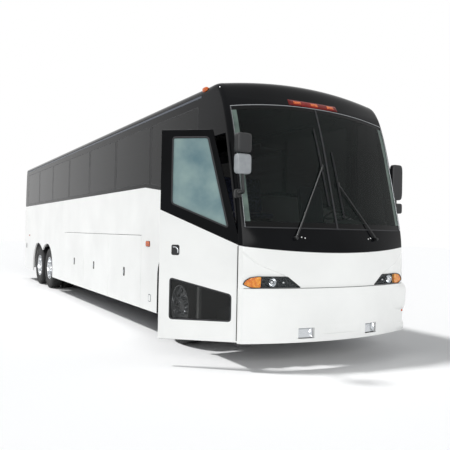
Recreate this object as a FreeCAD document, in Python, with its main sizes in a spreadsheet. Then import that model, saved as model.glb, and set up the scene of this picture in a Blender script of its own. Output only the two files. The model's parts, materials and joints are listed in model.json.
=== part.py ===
"""Touring coach with three axles, at full size, in millimetres.

Everything is modelled in the coach's own frame: X across with the driver's side at +X, Y back
from the front bumper's face and Z up from the road. Each node is then shifted so that the
origin lies on the road under the middle of the whole part.
"""

import FreeCAD, Part
import math
import os
import re
import Sketcher

from FreeCAD import Placement, Rotation, Vector

# Driving dimensions in mm, degrees and counts: name, value, meaning
SIZES = [
    ("coach_length", 13840, "front bumper face to rear face"),
    ("half_width", 1295, "centreline to the side skin"),
    ("coach_height", 3580, "road to the roof's crown"),
    ("roof_rise", 110, "crown of the roof above the shoulder"),
    ("shoulder_radius", 100, "rounding between side and roof"),
    ("roof_thick", 45, "roof panel and headlining"),
    ("side_thick", 40, "side wall"),
    ("cap_thick", 40, "moulded wall of the front and rear ends"),
    ("skirt_bottom", 340, "road to the lower edge of the side panels"),
    ("seam_height", 1515, "road to the top of the luggage doors"),
    ("belt_height", 2280, "road to the line between white and black"),
    ("cap_end", 1296, "where the front end meets the side walls"),
    ("tail_depth", 360, "how far the rear end reaches forward"),
    ("corner_radius", 60, "vertical rounding of the front corners"),
    ("rear_corner_radius", 110, "vertical rounding of the rear corners"),
    ("nose_bow", 250, "how far the nose falls back from the middle to the side"),
    ("screen_bow", 160, "the same at the windscreen and above it"),
    ("rear_sag", 60, "how far the rear face is bowed"),
    ("chords", 8, "flats across the inner face of each end"),
    ("over", 500, "how far cutting forms reach past the coach"),
    ("joint_gap", 0.3, "seat between pieces that rest on each other"),
    ("door_gap", 6, "running gap round doors"),
    ("bumper_top", 945, "road to the seam above the bumper"),
    ("bumper_bottom", 315, "road to the bumper's lower edge"),
    ("bumper_stand", 30, "how far the bumper stands in front of the nose"),
    ("nose_top", 1400, "road to the top of the white nose"),
    ("screen_half", 1205, "centreline to the windscreen's side edge"),
    ("screen_bottom", 1650, "road to the windscreen's lower edge"),
    ("screen_below", 365, "roof's crown to the windscreen's upper edge at the middle"),
    ("screen_drop", 95, "fall of the upper edge from the middle to the side"),
    ("divider_half", 14, "half the post between the two panes"),
    ("glass_thick", 10, "window glass"),
    ("door_hinge_y", 345, "front bumper to the entrance door's hinge axis"),
    ("door_thick", 40, "entrance door leaf"),
    ("door_bottom", 322, "road to the door's lower edge"),
    ("door_below", 800, "roof's crown to the door's upper edge"),
    ("door_slant_start", 1440, "height at which the door's front edge leans back"),
    ("door_slant", 352, "lean of the door's front edge at its top"),
    ("door_rebate", 2, "how far the door's glass lies behind its skin"),
    ("door_open", 50, "opening angle of the door at rest"),
    ("door_stile", 80, "width of the door's frame at its hinge side"),
    ("door_lock_stile", 138, "width of the door's frame at its free edge"),
    ("door_pane_bottom", 562, "road to the lower edge of the lower pane"),
    ("door_pane_front", 862, "road to the upper edge of the lower pane at the hinge side"),
    ("door_pane_rear", 1035, "road to the upper edge of the lower pane at the free edge"),
    ("door_glass_front", 1640, "road to the upper pane's sill at the hinge side"),
    ("door_glass_rear", 1915, "road to the upper pane's sill at the free edge"),
    ("door_head", 88, "rail over the upper pane"),
    ("jamb", 30, "how far the engine door's jamb reaches behind its edge"),
    ("door_line_rear", 1838, "height of the black edge at the door's free edge"),
    ("hinge_pin", 9, "radius of the entrance door's pivot pins"),
    ("hinge_clear", 34, "radius kept free for the door's turning edge"),
    ("bracket_thick", 25, "thickness of the entrance door's bracket"),
    ("bay_bead", 12, "radius of the round bead that a luggage door hangs from"),
    ("belt_bend_low", 2610, "first bend of the belt line, from the front"),
    ("belt_low_height", 2200, "height of the belt line at its first bend"),
    ("belt_bend_high", 3270, "second bend of the belt line, from the front"),
    ("bay_start", 3400, "front edge of the first luggage door"),
    ("bay_aft", 1230, "panel between the last luggage door and the rear arch"),
    ("bay_count", 3, "luggage doors on each side"),
    ("bay_floor", 385, "top of the luggage floor"),
    ("bulkhead", 50, "thickness of the luggage bulkheads"),
    ("floor_top", 1500, "road to the passenger floor"),
    ("floor_thick", 45, "floor slabs"),
    ("step_low", 385, "road to the first entrance step"),
    ("deck_top", 1350, "road to the raised floor over the front axle"),
    ("deck_start", 1700, "where that floor begins behind the driver"),
    ("cockpit_floor", 1200, "road to the driver's floor"),
    ("cockpit_end", 2700, "where the driver's floor meets the passenger floor"),
    ("front_axle_y", 2030, "front bumper to the front axle"),
    ("tag_overhang", 2200, "tag axle to the rear face"),
    ("axle_spacing", 1260, "drive axle to the tag axle"),
    ("front_arch", 670, "radius of the front wheel arches"),
    ("rear_arch", 650, "radius of the rear wheel arches"),
    ("tyre_radius", 535, "outer radius of the tyres"),
    ("tyre_width", 300, "section width of the tyres"),
    ("shoulder_in", 36, "how far the tyre's shoulder is cut back"),
    ("rim_radius", 292, "bead seat radius of the rims"),
    ("well_radius", 268, "radius of the recess in the rims' faces"),
    ("flats", 36, "flats round a wheel"),
    ("bead_in", 20, "how far the tyre narrows to its beads"),
    ("hand_holes", 8, "hand holes in a rim"),
    ("hand_circle", 190, "radius of the circle of hand holes"),
    ("hand_size", 30, "radius of a hand hole"),
    ("hand_deep", 40, "depth of a hand hole down to the brake drum"),
    ("hub_radius", 95, "radius of the wheel hubs"),
    ("hub_bore", 48, "radius of the spindle bore in the hubs"),
    ("spindle_reach", 60, "how far a spindle passes the wheel's centre plane"),
    ("rim_in", 20, "tyre's wall to the rim's edge"),
    ("dish_front", 60, "wheel's centre plane to the face of a single rim"),
    ("dish_twin", 120, "the same, inwards, at a twin wheel"),
    ("hub_front", 110, "wheel's centre plane to the hub's cap"),
    ("hub_twin", 135, "the same at a twin wheel"),
    ("beam_half", 55, "half the height and depth of the front axle's beam"),
    ("boss_radius", 60, "radius of the axle's bosses and the knuckle's lugs"),
    ("boss_half", 80, "half the height of the axle's bosses"),
    ("lug_thick", 50, "height of a knuckle's lug"),
    ("lug_arm", 100, "kingpin to the knuckle's web"),
    ("web_thick", 40, "thickness of the knuckle's web"),
    ("axle_tube", 75, "radius of the rear axles' tubes"),
    ("banjo", 190, "radius of the drive axle's housing"),
    ("spring_half", 90, "half the length of the air spring seats"),
    ("wheel_inset", 50, "side skin to the tyre's outer wall"),
    ("twin_gap", 45, "gap between the tyres of a twin wheel"),
    ("kingpin_in", 250, "wheel centre plane to the kingpin"),
    ("kingpin_radius", 24, "radius of the kingpins"),
    ("pin_clearance", 0.4, "radial running clearance of pins and spindles"),
    ("window_count", 7, "passenger windows on each side"),
    ("window_first", 1420, "front edge of the first side window"),
    ("window_tail", 160, "last side window to the rear end"),
    ("window_post", 90, "post between side windows"),
    ("window_sill", 60, "height of the glass edge above the belt line"),
    ("window_below", 350, "roof's crown to the upper edge of the side glass"),
    ("row_count", 13, "rows of seats"),
    ("row_first", 3150, "front of the first row"),
    ("row_tail", 320, "room behind the last row"),
    ("seat_width", 930, "width of a double seat"),
    ("aisle_half", 230, "half the aisle between the seats"),
    ("seat_height", 450, "floor to the top of the cushion"),
    ("seat_back_height", 1130, "floor to the top of the backrest"),
    ("seat_depth", 470, "depth of the cushion"),
    ("seat_foot", 80, "how far the seat's foot stands back"),
    ("seat_pad", 110, "thickness of the cushion"),
    ("seat_rake", 130, "how far the backrest leans back"),
    ("driver_seat", 480, "width of the driver's seat"),
    ("engine_length", 1050, "engine block, along the coach"),
    ("rail_x", 480, "centreline to the middle of the frame rails"),
    ("rail_half", 40, "half the width of the frame rails"),
    ("rail_depth", 130, "depth of the frame rails"),
    ("engine_height", 850, "height of the engine block"),
    ("hatch_hinge", 6, "radius of the engine door's hinge barrels"),
    ("hatch_hinge_x", 560, "centreline to the middle of those barrels"),
    ("hatch_hinge_half", 60, "half the length of a barrel"),
    ("louvre_half", 560, "half the width of the engine door's louvres"),
    ("louvre_low", 760, "road to the lowest louvre"),
    ("louvre_pitch", 70, "spacing of the louvres"),
    ("louvre_open", 30, "height of a louvre"),
    ("louvre_count", 5, "louvres in the engine door"),
    ("hatch_half", 780, "half the width of the engine door"),
    ("hatch_bottom", 640, "road to the lower edge of the engine door"),
    ("hatch_top", 1780, "road to the upper edge of the engine door"),
    ("mirror_reach", 1500, "centreline to the outer face of the driver's mirror"),
    ("mirror_width", 200, "width of a mirror housing"),
    ("mirror_deep", 100, "depth of a mirror housing"),
    ("mirror_height", 500, "height of a mirror housing"),
    ("driver_mirror_y", 480, "front bumper to the driver's mirror"),
    ("driver_mirror_z", 2085, "road to the underside of the driver's mirror"),
    ("kerb_mirror_y", 50, "front bumper to the mirror on the entrance side"),
    ("kerb_mirror_z", 2235, "road to the underside of that mirror"),
    ("kerb_arm_z", 2040, "road to the middle of that mirror's arm"),
    ("kerb_mirror_x", 195, "side skin to that mirror's outer edge"),
    ("kerb_mirror_less", 45, "how much lower that mirror is"),
    ("low_mirror", 145, "height of the driver's lower mirror"),
    ("mirror_gap", 45, "gap between the driver's two mirrors"),
    ("mirror_arm", 36, "thickness of a mirror's arm"),
    ("stem_radius", 17, "radius of the mirror's stem"),
    ("wiper_pivot_x", 630, "centreline to the wipers' pivots"),
    ("wiper_pivot_z", 1535, "road to the wipers' pivots"),
    ("wiper_boss", 20, "radius of the wipers' pivots"),
    ("wiper_wide", 16, "width of the wipers' arms and blades"),
    ("wiper_deep", 24, "depth of the wipers' arms and blades"),
    ("pod_half", 400, "half the width of the brow's clearance lamps"),
    ("pod_low", 3222, "road to their lower edge"),
    ("pod_high", 3322, "road to their upper edge"),
    ("pod_deep", 24, "how far they stand out"),
    ("marker_y", 3110, "front bumper to the side marker lamp"),
    ("marker_z", 1380, "road to the side marker lamp"),
    ("marker_half", 36, "half the length of the side marker lamp"),
    ("marker_deep", 12, "how far the side marker lamp stands out"),
    ("rack_low", 3050, "road to the underside of the parcel racks"),
    ("rack_in", 790, "centreline to the lip of the parcel racks"),
    ("rack_thick", 30, "thickness of the parcel racks"),
    ("rack_lip", 120, "height of their lip"),
    ("wheel_y", 860, "front bumper to the middle of the steering wheel"),
    ("wheel_height", 640, "driver's floor to the middle of the steering wheel"),
    ("wheel_radius", 226, "outer radius of the steering wheel"),
    ("wheel_grip", 12, "half the thickness of its rim"),
    ("wheel_boss_deep", 30, "how far its boss reaches back"),
    ("column_slope", 58, "slope of the steering column"),
    ("shaft_length", 120, "length of the bore for the steering shaft"),
    ("dash_y", 430, "front bumper to the dash"),
    ("dash_foot", 150, "depth of the dash at the floor"),
    ("dash_reach", 330, "depth of the dash at its top"),
    ("dash_height", 500, "height of the dash"),
    ("column_radius", 38, "radius of the steering column"),
    ("column_length", 520, "length of the steering column"),
    ("shaft_radius", 12, "radius of the steering shaft"),
    ("plate_pitch", 177.8, "spacing of the licence plate's holes"),
    ("plate_hole", 3.5, "radius of the licence plate's holes"),
    ("front_arch_corner", 380, "rounding of the front arches' upper corners"),
    ("front_arch_top", 1290, "road to the top of the front arches"),
    ("arch_flat", 1150, "radius of the flat arc over each rear axle"),
    ("driver_window_low", 560, "front corner of the driver's window at its sill"),
    ("driver_window_high", 840, "front corner of the driver's window at its top"),
    ("driver_window_sill", 1760, "road to the driver's window sill"),
    ("driver_window_rise", 110, "how far that sill climbs to the rear"),
    ("lamp_inner", 580, "centreline to the headlamp's inner tip"),
    ("lamp_outer", 1262, "centreline to the headlamp's outer tip"),
    ("lamp_bottom", 955, "road to the headlamp's lower edge"),
    ("lamp_top", 1085, "road to the headlamp's upper edge"),
    ("lamp_toe", 70, "how far its outer tip tapers"),
    ("lamp_heel", 160, "how far its inner tip tapers"),
    ("fog_inner", 398, "centreline to the fog lamp's inner edge"),
    ("fog_outer", 610, "centreline to the fog lamp's outer edge"),
    ("fog_low", 358, "road to the fog lamp's lower edge"),
    ("fog_high", 482, "road to the fog lamp's upper edge"),
    ("plate_half", 342, "half the width of the licence plate's recess"),
    ("plate_low", 400, "road to the recess's lower edge"),
    ("plate_high", 512, "road to the recess's upper edge"),
    ("rear_window_half", 960, "half the width of the rear window"),
    ("rear_sill", 140, "belt line to the rear window's lower edge"),
    ("rear_head", 420, "roof's crown to the rear window's upper edge"),
    ("tail_inner", 960, "centreline to the tail lamp's inner edge"),
    ("tail_outer", 1120, "centreline to the tail lamp's outer edge"),
    ("tail_low", 1000, "road to the tail lamp's lower edge"),
    ("tail_high", 1560, "road to the tail lamp's upper edge"),
    ("stair_inner", 350, "centreline to the top of the entrance steps"),
    ("rail_bottom", 1000, "road to the underside of the frame rails"),
    ("recess_depth", 26, "depth of the licence plate's recess"),
    ("engine_behind", 60, "room behind the engine block"),
    ("engine_bottom", 480, "road to the underside of the engine block"),
    ("driver_seat_y", 980, "front bumper to the driver's seat"),
    ("driver_x", 640, "centreline to the driver's seat"),
]

# Places that follow from the sizes
TAIL = "(coach_length - tail_depth)"
TAG_AXLE = "(coach_length - tag_overhang)"
DRIVE_AXLE = f"({TAG_AXLE} - axle_spacing)"
BAY_END = f"({DRIVE_AXLE} - rear_arch - bay_aft)"
BAY_PITCH = f"(({BAY_END} - bay_start) / bay_count)"
WINDOW_PITCH = f"(({TAIL} - window_tail - window_first) / window_count)"
ROW_PITCH = f"(({TAIL} - row_tail - row_first) / row_count)"
SCREEN_TOP = "(coach_height - screen_below)"
WINDOW_TOP = "(coach_height - window_below)"
DOOR_TOP = "(coach_height - door_below)"
REAR_LOW = "(belt_height + rear_sill)"
REAR_HIGH = "(coach_height - rear_head)"
ROOF_EDGE = "(coach_height - roof_rise - shoulder_radius)"
WALL_START = "half_width - side_thick"
HINGE_X = "-half_width + door_thick / 2"
BRACKET = "(2 * door_thick)"
BUMPER_BACK = "door_hinge_y - door_thick / 2 - door_gap"
WIDE = "(half_width + over)"
FAR = "(coach_length + over)"
HIGH = "(coach_height + over)"

# The front end in side view: height above the road, distance back at the centreline, how far the
# corners lie behind the middle, and whether the inner face bends there too
FRONT_LEVELS = [
    ("skirt_bottom - 40", 44, "nose_bow", True), ("bumper_top - 85", 30, "nose_bow", False),
    ("nose_top", 56, "nose_bow", True), ("screen_bottom", 122, "screen_bow", True),
    (f"{DOOR_TOP} + 20", 455, "screen_bow", True), ("coach_height - 330", 632, "screen_bow", True),
    ("coach_height - 180", 750, "screen_bow", False), ("coach_height - 80", 905, "screen_bow", True),
    ("coach_height + 60", 1290, "screen_bow", True),
]

# The rear end in side view: height above the road and distance in from the rear face
REAR_LEVELS = [
    ("skirt_bottom - 40", 70), ("hatch_bottom + 220", 10), ("nose_top", 0), ("nose_top + 600", 14),
    (f"{DOOR_TOP} + 20", 46), ("coach_height - 330", 90), ("coach_height - 80", 160),
]

doc = FreeCAD.newDocument("coach")
sheet = doc.addObject("Spreadsheet::Sheet", "Sizes")
for row, (alias, value, meaning) in enumerate(SIZES, start=1):
    sheet.set(f"A{row}", str(value))
    sheet.setAlias(f"A{row}", alias)
    sheet.set(f"B{row}", meaning)
doc.recompute()
ALIASES = re.compile(r"\b(" + "|".join(alias for alias, _, _ in SIZES) + r")\b")
nodes = {}


def bound(text):
    """An expression on the sheet's cells, written with their bare names."""
    return ALIASES.sub(r"Sizes.\1", str(text))


def number(text):
    """The value that such an expression has now."""
    return float(sheet.evalExpression(bound(text)))


def place(solid, spot):
    """Bind the position of a solid to three expressions."""
    for axis, text in zip("xyz", spot):
        solid.setExpression(f".Placement.Base.{axis}", bound(text))
    return solid


def box(name, low, high):
    """A box between two corners, each given as three expressions."""
    solid = doc.addObject("Part::Box", name)
    for size_name, start, end in zip(("Length", "Width", "Height"), low, high):
        solid.setExpression(size_name, bound(f"({end}) - ({start})"))
    return place(solid, low)


TURNS = {"X": Rotation(Vector(0, 1, 0), 90), "Y": Rotation(Vector(1, 0, 0), -90), "Z": Rotation()}


def rod(name, axis, radius, start, length):
    """A cylinder along an axis from the middle of its first end."""
    solid = doc.addObject("Part::Cylinder", name)
    solid.setExpression("Radius", bound(radius))
    solid.setExpression("Height", bound(length))
    solid.Placement = Placement(Vector(), TURNS[axis])
    return place(solid, start)


def cut(name, base, *tools):
    """The base without the tools."""
    result = doc.addObject("Part::Cut", name)
    result.Base = base
    result.Tool = tools[0] if len(tools) == 1 else fuse(name + "_tools", *tools)
    return result


def fuse(name, *solids):
    """One solid of several that meet."""
    result = doc.addObject("Part::MultiFuse", name)
    result.Shapes = list(solids)
    result.Refine = True
    return result


def common(name, *solids):
    """What the solids share."""
    result = doc.addObject("Part::MultiCommon", name)
    result.Shapes = list(solids)
    return result


def mirrored(name, solid):
    """The same piece on the other side of the coach."""
    result = doc.addObject("Part::Mirroring", name)
    result.Source = solid
    result.Normal = Vector(1, 0, 0)
    return result


PLANES = {"across": ("XZ_Plane", -1, True), "along": ("YZ_Plane", 1, False),
          "level": ("XY_Plane", 1, False)}


def plate(name, plane, loops, start, depth):
    """A pad of closed outlines: across is X and Z carried along Y, along is Y and Z carried
    along X, and level is X and Y carried along Z. Every corner is bound to its expressions."""
    role, sign, flip = PLANES[plane]
    body = doc.addObject("PartDesign::Body", name)
    origin = [feature for feature in body.Origin.OriginFeatures if feature.Role == role][0]
    sketch = body.newObject("Sketcher::SketchObject", name + "_outline")
    sketch.AttachmentSupport = (origin, [""])
    sketch.MapMode = "FlatFace"
    sketch.setExpression(".AttachmentOffset.Base.z", bound(f"{sign} * ({start})"))
    for loop in loops:
        first = sketch.GeometryCount
        spots = [Vector(number(u), number(v), 0) for u, v in loop]
        count = len(spots)
        for index in range(count):
            sketch.addGeometry(Part.LineSegment(spots[index], spots[(index + 1) % count]))
        for index, (u, v) in enumerate(loop):
            line, after = first + index, first + (index + 1) % count
            sketch.addConstraint(Sketcher.Constraint("Coincident", line, 2, after, 1))
            for kind, text, value in (("DistanceX", u, spots[index].x),
                                      ("DistanceY", v, spots[index].y)):
                key = sketch.addConstraint(Sketcher.Constraint(kind, line, 1, value))
                sketch.setExpression(f"Constraints[{key}]", bound(text))
    pad = body.newObject("PartDesign::Pad", name + "_pad")
    pad.Profile = sketch
    pad.Reversed = flip
    pad.setExpression("Length", bound(depth))
    return body


def turned(name, profile):
    """A body of revolution about X: the profile's points are along X and out from the axis."""
    body = doc.addObject("PartDesign::Body", name)
    origin = [feature for feature in body.Origin.OriginFeatures if feature.Role == "XY_Plane"][0]
    sketch = body.newObject("Sketcher::SketchObject", name + "_profile")
    sketch.AttachmentSupport = (origin, [""])
    sketch.MapMode = "FlatFace"
    spots = [Vector(number(u), number(v), 0) for u, v in profile]
    count = len(spots)
    for index in range(count):
        sketch.addGeometry(Part.LineSegment(spots[index], spots[(index + 1) % count]))
    for index, (u, v) in enumerate(profile):
        sketch.addConstraint(Sketcher.Constraint("Coincident", index, 2, (index + 1) % count, 1))
        for kind, text, value in (("DistanceX", u, spots[index].x),
                                  ("DistanceY", v, spots[index].y)):
            key = sketch.addConstraint(Sketcher.Constraint(kind, index, 1, value))
            sketch.setExpression(f"Constraints[{key}]", bound(text))
    turn = body.newObject("PartDesign::Revolution", name + "_turn")
    turn.Profile = sketch
    turn.ReferenceAxis = (sketch, ["H_Axis"])
    turn.Angle = 360
    return body


DOOR_LEAF = "cap_end - door_gap - door_hinge_y"
FRAME_X = (f"(half_width - door_thick / 2 + ({DOOR_LEAF}) * sin(door_open)"
           " + door_thick / 2 * cos(door_open) - mirror_reach) / 2")


def node(label, *solids, spot=("0", "0", "0")):
    """One node of the part: its solids, shifted into the common frame."""
    result = doc.addObject("Part::Compound", "node_" + label)
    result.Links = list(solids)
    result.Label = label
    place(result, (f"({spot[0]}) + {FRAME_X}", f"({spot[1]}) - coach_length / 2", spot[2]))
    nodes[label] = result
    return result


def both(name, solid):
    """A piece and its mirror image, as a pair for one node."""
    return solid, mirrored(name + "_far", solid)


def end_corner(bow, radius, front, sign):
    """Tangent points of a bowed end with its corner: the end's arc passes through the middle at
    front and would fall back by bow at the side, and the corner's arc touches it and the side."""
    half = number("half_width")
    bowed = (half**2 + bow**2) / (2 * bow)
    centre = front + sign * bowed
    corner = centre - sign * math.sqrt((bowed - radius) ** 2 - (half - radius) ** 2)
    across, along = (half - radius) / (bowed - radius), (corner - centre) / (bowed - radius)
    middle = math.atan2(along, across) / 2
    return (
        (bowed * across, centre + bowed * along),
        (half - radius + radius * math.cos(middle), corner + radius * math.sin(middle)),
        (half, corner),
    )


def plan_wire(height, front, bow, rear, inset):
    """The coach's outline seen from above at one height, moved inwards by the inset."""
    grow = number("half_width") / (number("half_width") - inset)
    first = end_corner(bow, number("corner_radius"), front + inset, 1)
    last = end_corner(number("rear_sag"), number("rear_corner_radius"), rear - inset, -1)

    def spot(pair, side):
        return Vector(side * pair[0] / grow, pair[1], height)

    def bend(a, b, c):
        return Part.Arc(a, b, c).toShape()

    edges = [
        bend(spot(first[0], -1), Vector(0, front + inset, height), spot(first[0], 1)),
        bend(*(spot(pair, 1) for pair in first)),
        Part.LineSegment(spot(first[2], 1), spot(last[2], 1)).toShape(),
        bend(*(spot(pair, 1) for pair in reversed(last))),
        bend(spot(last[0], 1), Vector(0, rear - inset, height), spot(last[0], -1)),
        bend(*(spot(pair, -1) for pair in last)),
        Part.LineSegment(spot(last[2], -1), spot(first[2], -1)).toShape(),
        bend(*(spot(pair, -1) for pair in reversed(first))),
    ]
    return Part.Wire(edges)


def plan_spots(height, front, bow, rear, inset):
    """Corners of the inner outline at one height: chords across both bowed ends, and a bevel at
    each corner."""
    half = number("half_width")
    grow = half / (half - inset)
    count = int(number("chords"))
    spots = []
    for level, sag, radius, sign in ((front + inset, bow, number("corner_radius"), 1),
                                     (rear - inset, number("rear_sag"),
                                      number("rear_corner_radius"), -1)):
        corner = end_corner(sag, radius, level, sign)
        bowed = (half**2 + sag**2) / (2 * sag)
        spots.append((-sign * half, corner[2][1]))
        for index in range(count + 1):
            across = sign * corner[0][0] * (2 * index / count - 1)
            spots.append((across, level + sign * (bowed - math.sqrt(bowed**2 - across**2))))
        spots.append((sign * half, corner[2][1]))
    return [Vector(x / grow, y, height) for x, y in spots]


def closed(rings):
    """A solid with flat faces: the rings of corners joined from one to the next, the first and
    the last one closed."""
    faces = [Part.Face(Part.makePolygon(ring + ring[:1])) for ring in (rings[0], rings[-1])]
    for low, high in zip(rings, rings[1:]):
        for index in range(len(low)):
            after = (index + 1) % len(low)
            a, b, c, d = low[index], low[after], high[after], high[index]
            faces.append(Part.Face(Part.makePolygon([a, b, c, a])))
            faces.append(Part.Face(Part.makePolygon([a, c, d, a])))
    return Part.makeSolid(Part.makeShell(faces)).removeSplitter()


def levels(inner, stand):
    """The front's levels as numbers: height, distance back, bow and the rear face there."""
    return [(number(height), back - stand, number(bow), rear_at(number(height)))
            for height, back, bow, inside in FRONT_LEVELS if inside or not inner]


def rear_at(height):
    """Distance of the rear face from the front bumper at a height, from the rear levels."""
    spots = [(number(level), number("coach_length") - inside) for level, inside in REAR_LEVELS]
    for (low, a), (high, b) in zip(spots, spots[1:]):
        if height <= high:
            return a + (b - a) * max(height - low, 0) / (high - low)
    return spots[-1][1]


def front_at(height, across=0.0):
    """Distance of the front's skin from the bumper's face at a height and a width."""
    spots = [(number(level), back, number(bow)) for level, back, bow, _ in FRONT_LEVELS]
    for (low, a, u), (high, b, v) in zip(spots, spots[1:]):
        if height <= high:
            share = (height - low) / (high - low)
            return a + (b - a) * share + (u + (v - u) * share) * (across / number("half_width")) ** 2
    return spots[-1][1]


def end_hull(name, inset, stand):
    """The whole outer form as a solid: plan outlines joined from level to level. A stand moves
    the front forward, for the bumper. Inner hulls have flat faces."""
    result = doc.addObject("Part::Feature", name)
    if inset > 0:
        result.Shape = closed([plan_spots(height, front, bow, rear, inset)
                               for height, front, bow, rear in levels(True, stand)])
    else:
        result.Shape = Part.makeLoft([plan_wire(height, front, bow, rear, inset)
                                      for height, front, bow, rear in levels(False, stand)],
                                     True, True)
    return result


def roof_prism(name, inset, start, end, spare=0.0):
    """Everything under the roof's crown and shoulders, between two distances from the front. A
    spare makes the prism wider below the shoulders, so that it trims only the roof."""
    outside = 4 if spare and inset > 0 else 0
    half = number("half_width") - inset + outside
    top = number("coach_height") - inset
    edge = top - number("roof_rise")
    radius = number("shoulder_radius") - inset / 2
    slope = math.sqrt(0.5)
    wide = half + spare
    foot = Vector(wide, start, 0)
    side = Vector(wide, start, edge - radius)
    shoulder = Vector(half, start, edge - radius)
    bend = Vector(half - radius + radius * slope, start, edge - radius + radius * slope)
    rim = Vector(half - radius, start, edge)

    def far(spot):
        return Vector(-spot.x, spot.y, spot.z)

    edges = [Part.Arc(shoulder, bend, rim), Part.Arc(rim, Vector(0, start, top), far(rim)),
             Part.Arc(far(rim), far(bend), far(shoulder))]
    if spare:
        edges.append(Part.LineSegment(far(shoulder), far(side)))
    edges += [Part.LineSegment(far(side), far(foot)), Part.LineSegment(far(foot), foot),
              Part.LineSegment(foot, side)]
    if spare:
        edges.append(Part.LineSegment(side, shoulder))
    wire = Part.Wire([edge.toShape() for edge in edges])
    result = doc.addObject("Part::Feature", name)
    result.Shape = Part.Face(wire).extrude(Vector(0, end - start, 0))
    return result


def envelope(name, inset, stand=0.0):
    """The coach's closed outer form moved inwards by the inset."""
    hull = end_hull(name + "_hull", inset, stand)
    roof = roof_prism(name + "_roof", inset, -number("over"), number(FAR), number("over"))
    return common(name, hull, roof)


def belt_at(distance):
    """An expression for the height of the line between white and black at a distance."""
    low = ("door_hinge_y", "door_slant_start")
    rear = ("cap_end - door_gap", "door_line_rear")
    bend = ("belt_bend_low", "belt_low_height")
    high = ("belt_bend_high", "belt_height")
    spots = [low, rear, bend, high]
    where = number(distance)
    for (a, u), (b, v) in zip(spots, spots[1:]):
        if where <= number(b):
            return f"({u}) + (({v}) - ({u})) * (({distance}) - ({a})) / (({b}) - ({a}))"
    return "belt_height"


def around(low, high, bottom, top):
    """The four corners of an upright rectangle."""
    return [(low, bottom), (high, bottom), (high, top), (low, top)]


def front_arch_tool():
    """The opening over a front wheel: upright sides and a top with round corners."""
    radius = "front_arch_corner"
    top = "front_arch_top"
    inner = f"front_arch - {radius}"
    parts = [
        box("front_arch_low", (f"-{WIDE}", "front_axle_y - front_arch", "0"),
            (WIDE, "front_axle_y + front_arch", f"{top} - {radius}")),
        box("front_arch_high", (f"-{WIDE}", f"front_axle_y - ({inner})", "0"),
            (WIDE, f"front_axle_y + {inner}", top)),
    ]
    for name, sign in (("fore", "-"), ("aft", "+")):
        parts.append(rod(f"front_arch_{name}", "X", radius,
                         (f"-{WIDE}", f"front_axle_y {sign} ({inner})", f"{top} - {radius}"),
                         f"2 * {WIDE}"))
    return fuse("front_arch_tool", *parts)


def rear_arch_tool():
    """The opening over the two rear axles: a flat arc over each, meeting in a valley."""
    middle = f"({DRIVE_AXLE} + {TAG_AXLE}) / 2"
    parts = []
    for name, axle, low, high, foot, end in (
            ("drive", DRIVE_AXLE, DRIVE_AXLE, middle, f"{DRIVE_AXLE} - rear_arch", DRIVE_AXLE),
            ("tag", TAG_AXLE, middle, TAG_AXLE, TAG_AXLE, f"{TAG_AXLE} + rear_arch")):
        parts.append(rod(f"{name}_arch_round", "X", "rear_arch",
                         (f"-{WIDE}", axle, "tyre_radius"), f"2 * {WIDE}"))
        flat = rod(f"{name}_arch_flat", "X", "arch_flat",
                   (f"-{WIDE}", axle, "tyre_radius + rear_arch - arch_flat"), f"2 * {WIDE}")
        span = box(f"{name}_arch_span", (f"-{WIDE}", low, "0"), (WIDE, high, "coach_height"))
        parts.append(common(f"{name}_arch_half", flat, span))
        parts.append(box(f"{name}_arch_foot", (f"-{WIDE}", foot, "0"), (WIDE, end, "tyre_radius")))
    return fuse("rear_arch_tool", *parts)


def zone(name, low, high):
    """A box across the whole coach between two distances from the front and two heights."""
    return box(name, (f"-{WIDE}", low[0], low[1]), (WIDE, high[0], high[1]))


def make_ends():
    """The moulded front and rear ends: nose, black mask, bumper, rear panels and their doors."""
    outer = envelope("outer_form", 0)
    inner = envelope("inner_form", number("cap_thick"))
    shell = cut("end_shell", outer, inner)
    front = common("front_shell", shell, zone("front_zone", ("-over", "0"), ("cap_end", HIGH)))
    rear = common("rear_shell", shell, zone("rear_zone", (TAIL, "0"), (FAR, HIGH)))
    line = [("-over", "nose_top"), ("corner_radius", "nose_top"),
            ("door_hinge_y", "door_slant_start"), ("cap_end", belt_at("cap_end"))]
    doorway = plate("doorway", "along", [door_outline("door_gap", "door_gap")], f"-{WIDE}", "2 * over")
    pocket = rod("hinge_pocket", "Z", "hinge_clear", (HINGE_X, "door_hinge_y", "nose_top"),
                 "screen_bottom + door_gap - nose_top")
    nose_zone = plate("nose_zone", "along", [line + [
        ("cap_end", "skirt_bottom"), (BUMPER_BACK, "skirt_bottom"),
        (BUMPER_BACK, "bumper_top"), ("-over", "bumper_top")]], f"-{WIDE}", f"2 * {WIDE}")
    lamps = headlamps("lamp_hole", "0")
    node("nose_panel", cut("nose", common("nose_shell", front, nose_zone), doorway, pocket, *lamps))
    mask_zone = plate("mask_zone", "along", [line + [("cap_end", HIGH), ("-over", HIGH)]],
                      f"-{WIDE}", f"2 * {WIDE}")
    driver_hole = plate("driver_hole", "along", [driver_window("0")], "half_width - over / 2", "over")
    node("front_mask", cut("mask", common("mask_shell", front, mask_zone), doorway, pocket,
                           driver_hole, *panes("pane_hole", "0")))
    glazing = cut("glazing_shell", outer, envelope("glass_inner", number("glass_thick")))
    screen_zone = zone("screen_zone", ("-over", "0"), ("cap_end", HIGH))
    node("windscreen", *(common(f"{pane.Name}_glass", glazing, screen_zone, pane)
                         for pane in panes("pane", "joint_gap")))
    lamp_shells = [common(f"{lamp.Name}_shell", front, lamp) for lamp in headlamps("lamp", "joint_gap")]
    node("front_lamps", *lamp_shells, *make_bumpers())
    node("window_glass", make_rear(rear, outer, inner, glazing), *side_panes())


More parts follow.
